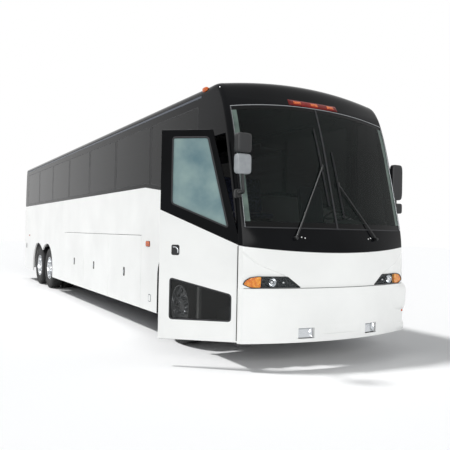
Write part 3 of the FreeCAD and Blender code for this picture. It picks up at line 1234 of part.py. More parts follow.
def make_mirrors():
    """The outside mirrors, the wipers and the marker lamps."""
    skin = envelope("mirror_seat", -number("joint_gap"))
    left = "mirror_reach - mirror_width"
    low_head = "driver_mirror_z - mirror_gap - low_mirror"
    driver = fuse(
        "driver_mirror",
        mirror_head("driver_head", left, "driver_mirror_y", "driver_mirror_z", "mirror_height"),
        mirror_head("driver_low_head", left, "driver_mirror_y", low_head, "low_mirror"),
        box("driver_arm", ("half_width - mirror_deep / 2", "driver_mirror_y + mirror_deep / 4",
                           "driver_mirror_z - mirror_gap * 1.2"),
            (f"{left} + mirror_width / 2", "driver_mirror_y + mirror_deep * 0.7",
             "driver_mirror_z + mirror_gap / 4")))
    arm = plate("kerb_arm", "level", [[
        ("-half_width + 60", "kerb_mirror_y + 390"), ("-half_width + 60", "kerb_mirror_y + 330"),
        ("-half_width - 70", "kerb_mirror_y + 30"), ("-half_width - 110", "kerb_mirror_y + 30"),
        ("-half_width - 110", "kerb_mirror_y + 60"), ("-half_width - 60", "kerb_mirror_y + 210")]],
        "kerb_arm_z - mirror_arm / 2", "mirror_arm")
    kerb = fuse(
        "kerb_mirror", arm,
        mirror_head("kerb_head", "-half_width - kerb_mirror_x", "kerb_mirror_y", "kerb_mirror_z",
                    "mirror_height - kerb_mirror_less"),
        rod("kerb_stem", "Z", "stem_radius",
            ("-half_width - 90", "kerb_mirror_y + mirror_deep / 2", "kerb_arm_z - mirror_arm / 2"),
            "kerb_mirror_z - kerb_arm_z + mirror_arm"))
    node("mirrors", cut("driver_mirror_seated", driver, skin), cut("kerb_mirror_seated", kerb, skin))
    node("wipers", cut("wiper_kerb_seated", wiper("kerb", -1, -75, -110, 1930, 2930), skin),
         cut("wiper_driver_seated", wiper("driver", 1, 135, 115, 1790, 2640), skin))
    pod_zone = box("pod_zone", ("-pod_half", "-over", "pod_low"), ("pod_half", "coach_length / 2",
                                                                   "pod_high"))
    pod = common("pod", cut("pod_shell", envelope("pod_outer", -number("pod_deep")), skin), pod_zone)
    marker = box("side_marker", ("half_width + joint_gap", "marker_y - marker_half", "marker_z - marker_half / 2"),
                 ("half_width + marker_deep", "marker_y + marker_half", "marker_z + marker_half / 2"))
    node("marker_lamps", pod, *both("side_marker", marker))


def bar(name, start, end):
    """A straight bar between two points."""
    solid = doc.addObject("Part::Box", name)
    solid.Length = (end - start).Length
    solid.setExpression("Width", bound("wiper_wide"))
    solid.setExpression("Height", bound("wiper_deep"))
    turn = Rotation(end - start, Vector(0, 0, 0), Vector(0, -1, 0), "XZY")
    shift = turn.multVec(Vector(0, -number("wiper_wide") / 2, -number("wiper_deep") / 2))
    solid.Placement = Placement(start + shift, turn)
    return solid


def wiper(name, side, low_x, high_x, low, high):
    """One wiper, parked upright beside the middle post: pivot, arm and blade."""
    off = number("wiper_deep") / 2 + 2

    def spot(across, height, lift):
        return Vector(across, front_at(height, across) - lift, height)

    pivot_x, pivot_z = side * number("wiper_pivot_x"), number("wiper_pivot_z")
    middle = (low_x + high_x) / 2
    blade = bar(f"blade_{name}", spot(low_x, low, off), spot(high_x, high, off))
    pivot = spot(pivot_x, pivot_z, 2 * off)
    arm = bar(f"arm_{name}", pivot, spot(middle, (low + high) / 2, 2 * off))
    boss = rod(f"pivot_{name}", "Y", "wiper_boss", (str(pivot_x), str(pivot.y - off), str(pivot_z)),
               str(4 * off))
    return fuse(f"wiper_{name}", blade, arm, boss)


def check_and_write():
    """Stop on anything that failed to build, then write one file per node."""
    doc.recompute()
    for item in doc.Objects:
        if "Invalid" in item.State or "Error" in item.State:
            raise RuntimeError(f"{item.Name} ({item.Label}) failed: {item.State}")
    for label, item in nodes.items():
        if item.Shape.isNull() or not item.Shape.isValid() or not item.Shape.Solids:
            raise RuntimeError(f"{label} has no valid solid")
    os.makedirs("parts", exist_ok=True)
    for label, item in nodes.items():
        item.Shape.exportStep(f"parts/{label}.step")
        print(label, len(item.Shape.Solids), "solids")


make_ends()
make_sides()
make_roof()
make_door()
make_bays()
make_floors()
make_running_gear()
make_frame()
make_seats()
make_cockpit()
make_mirrors()
check_and_write()
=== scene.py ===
import json
import math

import bmesh
import bpy
import numpy as np
from mathutils import Matrix, Vector

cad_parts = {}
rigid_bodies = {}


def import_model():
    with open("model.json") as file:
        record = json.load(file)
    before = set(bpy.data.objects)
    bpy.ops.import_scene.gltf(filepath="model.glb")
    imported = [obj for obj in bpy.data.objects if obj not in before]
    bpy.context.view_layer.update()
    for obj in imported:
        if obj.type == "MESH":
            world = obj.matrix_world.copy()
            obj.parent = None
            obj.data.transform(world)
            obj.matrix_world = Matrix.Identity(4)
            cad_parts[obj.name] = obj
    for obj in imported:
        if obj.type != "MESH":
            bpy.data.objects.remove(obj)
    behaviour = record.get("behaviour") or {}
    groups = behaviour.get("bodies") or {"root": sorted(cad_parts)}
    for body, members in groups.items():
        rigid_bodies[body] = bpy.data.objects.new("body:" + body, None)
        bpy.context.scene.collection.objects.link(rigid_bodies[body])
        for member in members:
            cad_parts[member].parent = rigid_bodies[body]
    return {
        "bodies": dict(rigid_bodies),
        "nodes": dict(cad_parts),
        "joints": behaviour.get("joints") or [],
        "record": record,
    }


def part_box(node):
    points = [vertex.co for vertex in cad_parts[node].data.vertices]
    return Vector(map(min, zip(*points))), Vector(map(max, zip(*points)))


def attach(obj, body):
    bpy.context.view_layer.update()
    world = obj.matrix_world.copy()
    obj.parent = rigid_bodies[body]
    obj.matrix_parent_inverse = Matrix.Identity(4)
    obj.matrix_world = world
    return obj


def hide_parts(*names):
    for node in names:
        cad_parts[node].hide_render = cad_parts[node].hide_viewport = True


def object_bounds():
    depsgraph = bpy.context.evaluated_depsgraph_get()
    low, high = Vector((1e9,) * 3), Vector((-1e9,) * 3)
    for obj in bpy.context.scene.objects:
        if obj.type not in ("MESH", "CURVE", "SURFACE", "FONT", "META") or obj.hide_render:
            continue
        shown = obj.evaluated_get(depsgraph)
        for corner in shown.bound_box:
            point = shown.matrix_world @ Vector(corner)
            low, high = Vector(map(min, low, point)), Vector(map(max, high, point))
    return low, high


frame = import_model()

bl_info = {
    "name": "Touring Coach Dressing",
    "version": (1, 0, 0),
    "blender": (4, 5, 0),
    "location": "View3D > Sidebar > Coach",
    "description": "Skins, glass, lamps, wheels and trim for a three-axle touring coach",
    "category": "Object",
}

CAD_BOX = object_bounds()
ROOF_LOW, ROOF_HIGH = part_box("roof_panel")
MIDDLE = (ROOF_LOW[0] + ROOF_HIGH[0]) / 2
FRONT = CAD_BOX[0][1]
HALF = (ROOF_HIGH[0] - ROOF_LOW[0]) / 2
CAP_END = ROOF_LOW[1] - FRONT
CROWN = ROOF_HIGH[2]

# Which directions of a grid are closed: a sheet, a turned or stuffed form, a bar, a ring of bar
OPEN, ROUND, BAR, RING = (False, False), (True, False), (False, True), (True, True)

FINISH = {}  # every finish by its key, filled by coach.palette

# The front end in side view: height, distance back at the middle, and fall back at the corners
PROFILE = np.array([
    (0.30, 0.044, 0.260), (0.60, 0.033, 0.256), (0.86, 0.030, 0.250), (1.13, 0.036, 0.240),
    (1.40, 0.056, 0.230), (1.65, 0.122, 0.190), (2.00, 0.222, 0.172), (2.40, 0.336, 0.154),
    (2.80, 0.455, 0.140), (3.08, 0.556, 0.132), (3.25, 0.632, 0.130), (3.40, 0.744, 0.130)])
CORNER = 0.06  # radius of the front end's corners, seen from above
# The bumper in side view: height, and how far it stands off its foot as a share of the most
WAIST = np.array([(0.30, 0.55), (0.36, 0.80), (0.42, 0.70), (0.475, 0.08), (0.52, 0.02),
                  (0.64, 0.80), (0.76, 0.98), (0.84, 1.00), (0.90, 0.82), (0.95, 0.30)])
# The windscreen: lower edge, upper edge at the middle, its fall to the sides, half width
SCREEN_LOW, SCREEN_TOP, SCREEN_DROP, SCREEN_SIDE = 1.65, 3.215, 0.095, 1.234
BROW = 3.25  # height where the mask ends and the brow begins
NOSE_SIDE = 1.262  # half the width of the nose, up to its rounded corners
LAMP_START = 0.575  # where the headlamps begin, from the middle
SHOULDER, RISE = 0.1, 0.11  # radius of the roof's shoulder and rise of its crown
PIVOT_X, PIVOT_Z = 0.63, 1.535  # the wipers' pivots
FOG = (0.398, 0.610, 0.358, 0.482)  # fog lamp's opening: near, far, low, high
RECESS = (0.342, 0.400, 0.512)  # plate recess: half width, low, high
# Latches along the side: distance back and height
LATCHES = ((4.21, 0.87), (6.04, 0.87), (7.56, 0.87), (13.34, 1.06))
# Marker lamps on the side: distance back and height, then half width and half height
MARKERS = ((3.11, 1.38, 0.080, 0.040), (12.9, 1.38, 0.034, 0.016))
HATCHES = (4.6, 10.4)  # middles of the roof hatches
# The front wheels' arch: front, rear, top and corner radius; and the height of the skirt
ARCH, SKIRT = (1.36, 2.70, 1.29, 0.38), 0.345
# A wheel's hand holes: number, circle and radius; and the circle of its nuts
HOLES, HOLE_CIRCLE, HOLE_R, NUT_CIRCLE = 10, 0.206, 0.0265, 0.124
SQUARE = ((-1, -1), (1, -1), (1, 1), (-1, 1))
# The entrance door: top, degrees it stands open, thickness, width of its leaf, hinge
DOOR_TOP, DOOR_OPEN, DOOR_THICK = 2.78, 50, 0.04
DOOR_LEAF = CAP_END - 0.006 - 0.345
HINGE = (-1.275, 0.345)
NOSE_BACK = 0.313  # where the nose ends at the doorway
PANE_FRONT, PANE_REAR = 0.84, 1.206  # driver's window: its front edge at the top, its rear edge
LENGTH = CAD_BOX[1][1] - CAD_BOX[0][1]
AXLES = {"front": 2.03, "drive": 10.38, "tag": 11.64}  # distance back
# Wheels: place across, radius of the tyre, distance between twin tyres
WHEEL_X, TYRE_R, TWIN = 1.095, 0.535, 0.345
BAYS = np.array([3.4, 5.1, 6.8, 8.5])  # edges of the bay doors
# Side windows: front edge of the first, pitch, width of a post, upper edge
WINDOW_FIRST, WINDOW_PITCH, WINDOW_POST, WINDOW_TOP = 1.42, 1.7, 0.09, 3.23
FLOOR, COCKPIT = 1.5, 1.2  # heights of the cabin floor and the driver's floor
ROWS = 3.15 + 0.77 * np.arange(13)  # front edges of the seats

# The photograph's camera: place from the bumper's middle, turns in degrees, focal length in pixels
CAMERA_AT, YAW, PITCH, ROLL = (-4.629, -5.283, 1.585), -29.36, 0.74, 1.12
FOCAL, PICTURE, SENSOR = 567.1, 450, 36
# Lamps, each far off and aimed at the coach: name, place, spread in degrees, strength
LAMPS = (("high_sun", (-6.2, 4.5, 13.6), 6, 2.15), ("front_sun", (-2.6, -10, 3.6), 30, 1.25))
FLOOR_REACH, SKY = 60.0, 0.32


def cubic(part, start, end, leave, arrive):
    """Hermite's cubic from start to end, with its slopes there, at a share of the way."""
    square = part**2
    cube = part**3
    return ((2 * cube - 3 * square + 1) * start + (cube - 2 * square + part) * leave
            + (3 * square - 2 * cube) * end + (cube - square) * arrive)


def between(value, table, column):
    """Cubic curve through a column of the profile table: its slope at each row is the harmonic
    mean of the slopes on both sides, so it never overshoots."""
    knots, heights = table[:, 0], table[:, column]
    gap, rise = np.diff(knots), np.diff(heights)
    slope = rise / gap
    inner = np.where(slope[1:] * slope[:-1] > 0,
                     2 * slope[1:] * slope[:-1] / (slope[1:] + slope[:-1] + 1e-12), 0)
    tangent = np.concatenate([slope[:1], inner, slope[-1:]])
    value = np.asarray(value, float)
    cell = np.clip(np.searchsorted(knots, value) - 1, 0, len(gap) - 1)
    width = gap[cell]
    return cubic((value - knots[cell]) / width, heights[cell], heights[cell + 1],
                 width * tangent[cell], width * tangent[cell + 1])


def plan(z):
    """The coach's outline from above at height z: radius and centre of the front's arc, the angle
    where it meets the corner's arc, the corner's centre, and the girth at both ends of it."""
    front, bow = between(z, PROFILE, 1), between(z, PROFILE, 2)
    radius = (HALF**2 + bow**2) / (2 * bow)
    centre = front + radius
    corner = centre - np.sqrt((radius - CORNER) ** 2 - (HALF - CORNER) ** 2)
    angle = np.arcsin((HALF - CORNER) / (radius - CORNER))
    first = radius * angle
    return radius, centre, angle, corner, first, first + CORNER * (math.pi / 2 - angle)


def skin(girth, z, out=0.0):
    """A point of the front end from the girth along the outline, measured from the middle, and the
    height: along the front's arc, then round the corner's arc, then straight back along the side.
    Out moves it along the outline's normal."""
    radius, centre, angle, corner, first, second = plan(z)
    along, side = np.abs(girth), np.sign(girth)
    turn = np.where(along < first, along / radius,
                    np.clip(angle + (along - first) / CORNER, 0, math.pi / 2))
    x = np.where(along < first, radius * np.sin(turn), HALF - CORNER + CORNER * np.sin(turn))
    y = np.where(along < first, centre - radius * np.cos(turn), corner - CORNER * np.cos(turn))
    y = y + np.maximum(along - second, 0)
    return np.stack([side * (x + out * np.sin(turn)), y - out * np.cos(turn), z + 0 * x], -1)


def girth_x(x, z):
    """Girth of the point of the front that lies at x."""
    radius, _, angle, _, first, _ = plan(z)
    side, x = np.sign(x), np.abs(x)
    bent = first + CORNER * (np.arcsin(np.clip((x - HALF + CORNER) / CORNER, -1, 1)) - angle)
    level = radius * np.arcsin(np.clip(x / radius, -1, 1))
    return side * np.where(x < radius * np.sin(angle), level, bent)


def girth_y(y, z, side):
    """Girth of the point of the side that lies at y."""
    *_, corner, _, second = plan(z)
    return side * (second + y - corner)


def at_x(x):
    """The line of the front that lies at x: its girth as a function of height."""
    return lambda z: girth_x(x, z)


def at_y(y, side):
    """The line of a side that lies at y, which may depend on the height."""
    return lambda z: girth_y(y(z) if callable(y) else y, z, side)


def on_front(x, z, lift=0.0):
    """Places points given by width and height on the front end's skin."""
    return skin(girth_x(x, z), z, lift)


def face(n, m, low, high, left, right, out=0.0):
    """A patch of the front end: heights run from low to high, which may depend on the share
    across, and girths from left to right, which may depend on the height."""
    across, up = np.meshgrid(np.linspace(0, 1, n), np.linspace(0, 1, m), indexing="ij")
    bottom = low(across) if callable(low) else low
    top = high(across) if callable(high) else high
    z = bottom + (top - bottom) * up
    a = left(z) if callable(left) else left
    b = right(z) if callable(right) else right
    return skin(a + (b - a) * across, z, out)


def span(n, m, x0, x1, low, high, out=0.0):
    """A patch of the front between two widths x0 and x1, from the curve low(x) to high(x)."""
    x = np.linspace(x0, x1, n)[:, None] + np.zeros((1, m))
    bottom = low(x) if callable(low) else low
    top = high(x) if callable(high) else high
    z = bottom + (top - bottom) * np.linspace(0, 1, m)[None, :]
    return on_front(x, z, out)


def world(points):
    """From the coach's own frame, measured from the bumper's middle, to the row's frame."""
    return np.asarray(points, float) + np.array([MIDDLE, FRONT, 0.0])


def mesh_of(name, patches, weld=0.0006, closed=OPEN, sharp=35):
    """One mesh of several grids of points, welded where they meet. A grid may be closed round its
    first or second direction: all alike, or each by its own pair in a list. Rims stay sharp, so
    that a wall grown on them doesn't bend the shading."""
    corners, faces, start = [], [], 0
    pairs = closed if isinstance(closed, list) else [closed] * len(patches)
    for grid, (first, second) in zip(patches, pairs):
        n, m = grid.shape[:2]
        index = start + np.arange(n * m).reshape(n, m)
        own, a = (index, np.roll(index, -1, 0)) if first else (index[:-1], index[1:])
        if second:
            quads = np.stack([own, a, np.roll(a, -1, 1), np.roll(own, -1, 1)], -1)
        else:
            quads = np.stack([own[:, :-1], a[:, :-1], a[:, 1:], own[:, 1:]], -1)
        faces.append(quads.reshape(-1, 4))
        corners.append(grid.reshape(-1, 3))
        start += n * m
    mesh = bpy.data.meshes.new(name)
    mesh.from_pydata(world(np.concatenate(corners)).tolist(), [], np.concatenate(faces).tolist())
    work = bmesh.new()
    work.from_mesh(mesh)
    if weld:
        bmesh.ops.remove_doubles(work, verts=work.verts, dist=weld)
    bmesh.ops.dissolve_degenerate(work, edges=work.edges, dist=1e-5)
    bmesh.ops.recalc_face_normals(work, faces=work.faces)
    work.to_mesh(mesh)
    work.free()
    mesh.shade_smooth()
    mesh.set_sharp_from_angle(angle=math.radians(sharp))
    sides = np.zeros(len(mesh.loops), np.int32)
    mesh.loops.foreach_get("edge_index", sides)
    rim = np.bincount(sides, minlength=len(mesh.edges)) == 1
    flags = mesh.attributes.get("sharp_edge")
    flags = flags or mesh.attributes.new("sharp_edge", "BOOLEAN", "EDGE")
    values = np.zeros(len(mesh.edges), bool)
    flags.data.foreach_get("value", values)
    flags.data.foreach_set("value", values | rim)
    return mesh


def piece(name, patches, material, body="coach", slot=None, thick=0.0, stands_for=(), facing=None,
          **options):
    """An object of such a mesh with a finish from the pot, riding on its body. A thickness is
    grown inwards; facing is a direction that an open sheet's faces are turned towards."""
    mesh = mesh_of(name, patches, **options)
    item = bpy.data.objects.new(name, mesh)
    bpy.context.collection.objects.link(item)
    if facing is not None:
        count = len(mesh.polygons)
        normals, areas = np.zeros(count * 3), np.zeros(count)
        mesh.polygons.foreach_get("normal", normals)
        mesh.polygons.foreach_get("area", areas)
        if ((normals.reshape(-1, 3) @ np.array(facing, float)) * areas).sum() < 0:
            mesh.flip_normals()
    mesh.materials.append(FINISH[material])
    if thick:
        wall = item.modifiers.new("wall", "SOLIDIFY")
        wall.thickness = thick
        wall.offset = -1
    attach(item, body)
    if stands_for:
        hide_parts(*stands_for)
    return item


def sheet(x0, x1, n, z0, z1, m):
    """Two grids of coordinates, n across from x0 to x1 and m up from z0 to z1."""
    return np.meshgrid(np.linspace(x0, x1, n), np.linspace(z0, z1, m), indexing="ij")


def ease(value, width):
    """A smooth step: nought up to nought, one from the width on."""
    part = np.clip(value / width, 0, 1)
    return part**2 * (3 - 2 * part)


def quarter_round(inset, radius):
    """Rise of a rounded edge: nought at the rim, one from a radius inwards."""
    return np.sqrt(1 - np.clip(1 - inset / radius, 0, 1) ** 2)


def filled(loop, count):
    """The inside of an outline: lines from its points to its middle, the first one again last."""
    heart = loop.mean(0)
    lines = heart + (loop - heart)[:, None] * np.linspace(1, 0, count)[None, :, None]
    return np.concatenate([lines, lines[:1]])


def sweep(path, across, up, turns=12, power=1.0, taper=None, hint=(0, 0, 1)):
    """A bar carried along a path: at each of its points an oval with half widths across and up,
    in a frame whose up is the hint made square to the path. A power under 1 squares the oval, and
    the taper scales it from start to end. Both ends close in a point."""
    path = np.asarray(path, float)
    path = np.concatenate([path[:1], path, path[-1:]])
    ahead = np.gradient(path, axis=0)
    ahead[0], ahead[-1] = ahead[1], ahead[-2]
    ahead /= np.linalg.norm(ahead, axis=1)[:, None]
    side = np.cross(ahead, np.array(hint, float))
    side /= np.linalg.norm(side, axis=1)[:, None]
    high = np.cross(side, ahead)
    size = np.ones(len(path)) if taper is None else np.interp(
        np.linspace(0, 1, len(path)), np.linspace(0, 1, len(taper)), taper)
    size[[0, -1]] = 0
    turn = np.linspace(0, 2 * math.pi, turns, endpoint=False)
    u = np.sign(np.cos(turn)) * np.abs(np.cos(turn)) ** power * across
    v = np.sign(np.sin(turn)) * np.abs(np.sin(turn)) ** power * up
    ring = u[None, :, None] * side[:, None] + v[None, :, None] * high[:, None]
    return path[:, None] + size[:, None, None] * ring


def smooth_path(points, count=24):
    """A curve through a few points: cubic between them with slopes from their neighbours."""
    points = np.asarray(points, float)
    slope = np.gradient(points, axis=0)
    place = np.linspace(0, len(points) - 1, count)
    cell = np.clip(place.astype(int), 0, len(points) - 2)
    return cubic((place - cell)[:, None], points[cell], points[cell + 1], slope[cell],
                 slope[cell + 1])


def pebble(centre, half, level=0.35, upright=0.35, n=28, m=14):
    """A rounded block: a ball whose circles seen from above and from the side are squared by the
    powers level and upright, with half sizes along x, y and z. Its poles are closed."""
    turn = np.linspace(0, 2 * math.pi, n, endpoint=False)[:, None]
    lift = np.linspace(-math.pi / 2, math.pi / 2, m)[None, :]

    def squared(value, power):
        return np.sign(value) * np.abs(value) ** power

    ring = squared(np.cos(lift), upright)
    shape = np.stack([ring * squared(np.cos(turn), level), ring * squared(np.sin(turn), level),
                      squared(np.sin(lift), upright) + 0 * turn], -1)
    shape[:, [0, -1], :2] = 0
    return np.asarray(centre, float) + shape * np.asarray(half, float)


def revolve(profile, axis="x", centre=(0, 0, 0), count=64, phase=0.0):
    """A profile turned about an axis: its points are along the axis and out from it."""
    profile = np.asarray(profile, float)
    turn = np.linspace(0, 2 * math.pi, count, endpoint=False)[:, None] + phase
    along, out = profile[None, :, 0] + 0 * turn, profile[None, :, 1]
    order = {"x": (along, out * np.cos(turn), out * np.sin(turn)),
             "y": (out * np.sin(turn), along, out * np.cos(turn)),
             "z": (out * np.cos(turn), out * np.sin(turn), along)}[axis]
    return np.stack(order, -1) + np.asarray(centre, float)


def rounded(corners, radius, count=6):
    """A closed outline with rounded corners: each one is a short curve from a point on the run
    before it to one on the run behind it, bent towards the corner."""
    corners = np.asarray(corners, float)
    before, after = np.roll(corners, 1, 0) - corners, np.roll(corners, -1, 0) - corners
    radius = np.broadcast_to(np.asarray(radius, float), len(corners))[:, None]
    start = corners + before / np.linalg.norm(before, axis=1)[:, None] * radius
    end = corners + after / np.linalg.norm(after, axis=1)[:, None] * radius
    part = np.linspace(0, 1, count)[None, :, None]
    curve = ((1 - part) ** 2 * start[:, None] + 2 * part * (1 - part) * corners[:, None]
             + part**2 * end[:, None])
    return curve.reshape(-1, corners.shape[1])


def beading(outline, across, up, place, turns=8):
    """A closed strip of rubber or metal along an outline: place turns its points, given with a
    lift off the surface, into the coach's frame."""
    loop = np.asarray(outline, float)
    ahead = np.roll(loop, -1, 0) - np.roll(loop, 1, 0)
    ahead /= np.linalg.norm(ahead, axis=1)[:, None]
    outward = np.stack([ahead[:, 1], -ahead[:, 0]], -1)
    turn = np.linspace(0, 2 * math.pi, turns, endpoint=False)
    u, v = np.cos(turn) * across, np.sin(turn) * up
    flat = loop[:, None] + outward[:, None] * u[None, :, None]
    return place(flat[..., 0], flat[..., 1], v[None, :] + 0 * flat[..., 0])


def on_side(side, out=0.0):
    """Places points given by distance back and height on the coach's side."""
    return lambda y, z, lift: np.stack([side * (HALF + out + lift), y, z], -1)


def on_rear(out=0.0):
    """Places points given by width and height on the rear face, which leans and is bowed."""
    return lambda x, z, lift: np.stack([x, rear_face(x, z) + out + lift, z], -1)


def on_roof(x, y, lift):
    """Places points given by width and distance back on the roof's crown, a circle's arc."""
    width = HALF - SHOULDER
    radius = (width**2 + RISE**2) / (2 * RISE)
    z = CROWN - 0.0028 - radius + np.sqrt(radius**2 - x**2) + lift
    return np.stack([x, y, z + 0 * y], -1)


def on_leaf(out=0.0):
    """Places points given by distance from the hinge and height on the open door's outer face."""
    turn = math.radians(DOOR_OPEN)

    def place(s, z, lift):
        t = DOOR_THICK / 2 + out + lift
        return np.stack([HINGE[0] - s * math.sin(turn) - t * math.cos(turn),
                         HINGE[1] + s * math.cos(turn) - t * math.sin(turn), z], -1)

    return place


def rear_face(x, z):
    """Distance of the rear face from the front bumper: its line by height, less the bow."""
    z = np.asarray(z, float)
    inset = np.interp(z, [0.30, 0.86, 1.40, 2.00, 2.80, 3.25, 3.50],
                      [0.070, 0.010, 0.0, 0.014, 0.046, 0.090, 0.160])
    return LENGTH - 0.0016 - inset - 0.060 * (np.asarray(x, float) / HALF) ** 2


def linear(hex_colour):
    """sRGB hex to the linear colour that the shader takes; a colour that is linear stays."""
    if not isinstance(hex_colour, str):
        return tuple(hex_colour)
    value = np.array([int(hex_colour[index:index + 2], 16) for index in (0, 2, 4)]) / 255
    value = np.where(value <= 0.04045, value / 12.92, ((value + 0.055) / 1.055) ** 2.4)
    return (*value.tolist(), 1.0)


def add(tree, kind, settings=None, **links):
    """One node with its settings; a link is another node's socket, given by the input's name."""
    made = tree.nodes.new(kind)
    for key, value in (settings or {}).items():
        if key in made.inputs:
            made.inputs[key].default_value = value
        else:
            setattr(made, key, value)
    for key, source in links.items():
        tree.links.new(source, made.inputs[key.replace("_", " ")])
    return made


def finish(name, colour, roughness, **sockets):
    """A material with a Principled shader; returns it with its tree and shader."""
    made = bpy.data.materials.new(name)
    made.use_nodes = True
    tree = made.node_tree
    shader = tree.nodes["Principled BSDF"]
    shader.inputs["Base Color"].default_value = linear(colour)
    shader.inputs["Roughness"].default_value = roughness
    for key, value in sockets.items():
        shader.inputs[key.replace("_", " ")].default_value = value
    return made, tree, shader


def ramped(tree, value, first, second, low, high):
    """Output of a ramp from one colour to another."""
    ramp = add(tree, "ShaderNodeValToRGB", Fac=value)
    for stop, place, colour in zip(ramp.color_ramp.elements, (low, high), (first, second)):
        stop.position = place
        stop.color = linear(colour)
    return ramp.outputs["Color"]


def noise_in(tree, scale, detail):
    """Output of a noise in the object's own metres."""
    spot = add(tree, "ShaderNodeTexCoord")
    return add(tree, "ShaderNodeTexNoise", {"Scale": scale, "Detail": detail},
               Vector=spot.outputs["Object"])


def mottle(tree, shader, scale, first, second, low=0.35, high=0.65):
    """Colour that drifts between two tones at a real scale."""
    noise = noise_in(tree, scale, 4.0)
    tree.links.new(ramped(tree, noise.outputs["Fac"], first, second, low, high),
                   shader.inputs["Base Color"])


def bumped(tree, shader, scale, strength, distance):
    """Fine relief from noise."""
    noise = noise_in(tree, scale, 2.0)
    bump = add(tree, "ShaderNodeBump", {"Strength": strength, "Distance": distance},
               Height=noise.outputs["Fac"])
    tree.links.new(bump.outputs["Normal"], shader.inputs["Normal"])


def shade(colour, factor):
    """A colour made lighter or darker by a factor on its linear values."""
    return (*(min(1.0, part * factor) for part in tuple(colour)[:3]), 1.0)


def make_materials(colours):
    """Every finish on the coach, named for what it really is."""
    body, band, seats = colours.body, colours.band, colours.seats
    made = {}

    def coat(key, name, colour, roughness, drift=None, relief=None, **sockets):
        made[key], tree, shader = finish(name, colour, roughness, **sockets)
        if drift:
            mottle(tree, shader, *drift)
        if relief:
            bumped(tree, shader, *relief)
        return tree, shader

    # White two-pack coach enamel: a slight drift of tone from dust, under a hard clear gloss
    coat("white", "white_coach_enamel", "F2F3F1", 0.28,
         (0.9, shade(body, 0.94), shade(body, 1.04)), Coat_Weight=0.6, Coat_Roughness=0.06)
    # Black enamel over the roof and window band: deep, with a sharp but faint reflection
    coat("black", "black_coach_enamel", "0A0B0C", 0.10,
         (1.1, shade(band, 0.75), shade(band, 1.45)), Specular_IOR_Level=0.08)
    # Smoked float glass of the side windows: nearly as black as the enamel beside it
    coat("smoked", "smoked_float_glass", "07090B", 0.03, (0.8, "06080A", "0B0E12"),
         Specular_IOR_Level=0.13, Alpha=0.90)
    # Laminated windscreen glass: grey-green, dim cockpit behind it
    coat("screen", "laminated_windscreen_glass", "0B1110", 0.02, (0.9, "080C0C", "121A18"),
         Specular_IOR_Level=0.14, Alpha=0.72)
    # Clear moulded lamp lens: hardly seen but for its glints
    coat("lens", "moulded_lamp_polycarbonate", "9AA0A4", 0.04, None, (300, 0.05, 0.0003),
         Specular_IOR_Level=0.5, Alpha=0.10)
    # Amber turn lamps, lighter where the inner prisms lie close under the face
    coat("amber", "amber_lamp_acrylic", "F08A14", 0.12, (26, "E8780E", "FFAC2C", 0.4, 0.6),
         Specular_IOR_Level=0.4)
    # Red tail lamps: deep red with a wet gloss
    coat("red", "red_lamp_acrylic", "8E0D10", 0.12, (26, "7C0A0D", "A31318", 0.4, 0.6),
         Coat_Weight=0.5)
    # Plated reflectors: a bright, sharp mirror
    coat("chrome", "vacuum_plated_reflector", "D8DBDE", 0.1, Metallic=1.0)
    # Mirror housings, cups and frames: grained black plastic that scatters the light
    coat("abs", "textured_black_abs", "17181A", 0.5, None, (900, 0.3, 0.0003))
    # Window rubber: dull, a little lighter than the glass
    coat("gasket", "epdm_window_rubber", "15161A", 0.6, None, (300, 0.2, 0.0004))
    # Tyres: matt and dusty, never fully black
    coat("tyre", "vulcanised_tyre_rubber", "1B1B1C", 0.75, (6, "171718", "242424"))
    # Wheel discs: bright metal with faint polishing marks
    coat("alloy", "polished_forged_aluminium", "D4D6D8", 0.2, None, (60, 0.08, 0.0006),
         Metallic=1.0)
    # Frame rails and bulkheads: thick brushed-on black
    coat("chassis", "black_chassis_paint", "1A1B1C", 0.6, None, (120, 0.35, 0.0008))
    # Cabin floor: grey, pebbled underfoot
    coat("floor", "ribbed_floor_vinyl", "4B4C50", 0.55, None, (200, 0.25, 0.0008))
    # Passenger seats: blue-grey cloth with a soft bloom along its edges
    coat("cloth", "woven_moquette", "3A4058", 0.9,
         (35, shade(seats, 0.7), shade(seats, 2.0), 0.45, 0.55), Sheen_Weight=0.4)
    # Dash and seat shells: leather-grained vinyl, light enough to show through the screen
    coat("dash", "padded_dash_vinyl", "56625E", 0.6, (7, "4E5A56", "606D68"), (500, 0.3, 0.0004))
    # Nuts, levers and grab rail: bright but brushed
    coat("steel", "brushed_stainless_steel", "B9BCBF", 0.32, Metallic=1.0)
    # Ceramic print round the windscreen: black, baked on behind the glass
    coat("frit", "black_ceramic_frit", "0B0C0D", 0.06, (3, "080909", "0C0D0E"),
         Specular_IOR_Level=0.14)
    # Pale grey-green band along the sides of the windscreen: painted light in the glass there,
    # with a slight drift of tone
    coat("edge", "painted_light_on_screen_sides", "55645E", 0.08, (6, "46544F", "66776F"),
         Specular_IOR_Level=0.3)
    # Arms and brackets: satin black
    coat("arm", "satin_black_powder_coat", "141516", 0.42, None, (700, 0.25, 0.0003))
    # Joint sealant: the dark line in a panel gap; on the walls of the wheels' hand holes the same
    # dark is painted shade
    coat("shadow", "joint_sealant_and_painted_shade", "1C1D1F", 0.8, (20, "191A1C", "232426"))
    # Projectors behind a clear lens: near white, painted light of a lit bulb
    coat("glow", "projector_painted_light", "F4F6F8", 0.12, Coat_Weight=1.0)
    # Pod over the windscreen: dark red pressed acrylic
    coat("ruby", "ruby_lamp_acrylic", "6E100C", 0.2, (12, "5C0D0A", "82140E"),
         Specular_IOR_Level=0.2)
    # Roof rails: anodised metal, grey with a blue cast
    coat("rail", "anodised_aluminium_rail", "5A5F68", 0.38, None, (160, 0.08, 0.0003),
         Metallic=1.0)
    # Brake drums: cast iron with a film of brown dust
    coat("drum", "dusty_brake_iron", "2A2523", 0.8, (30, "231F1E", "3A2E29"))
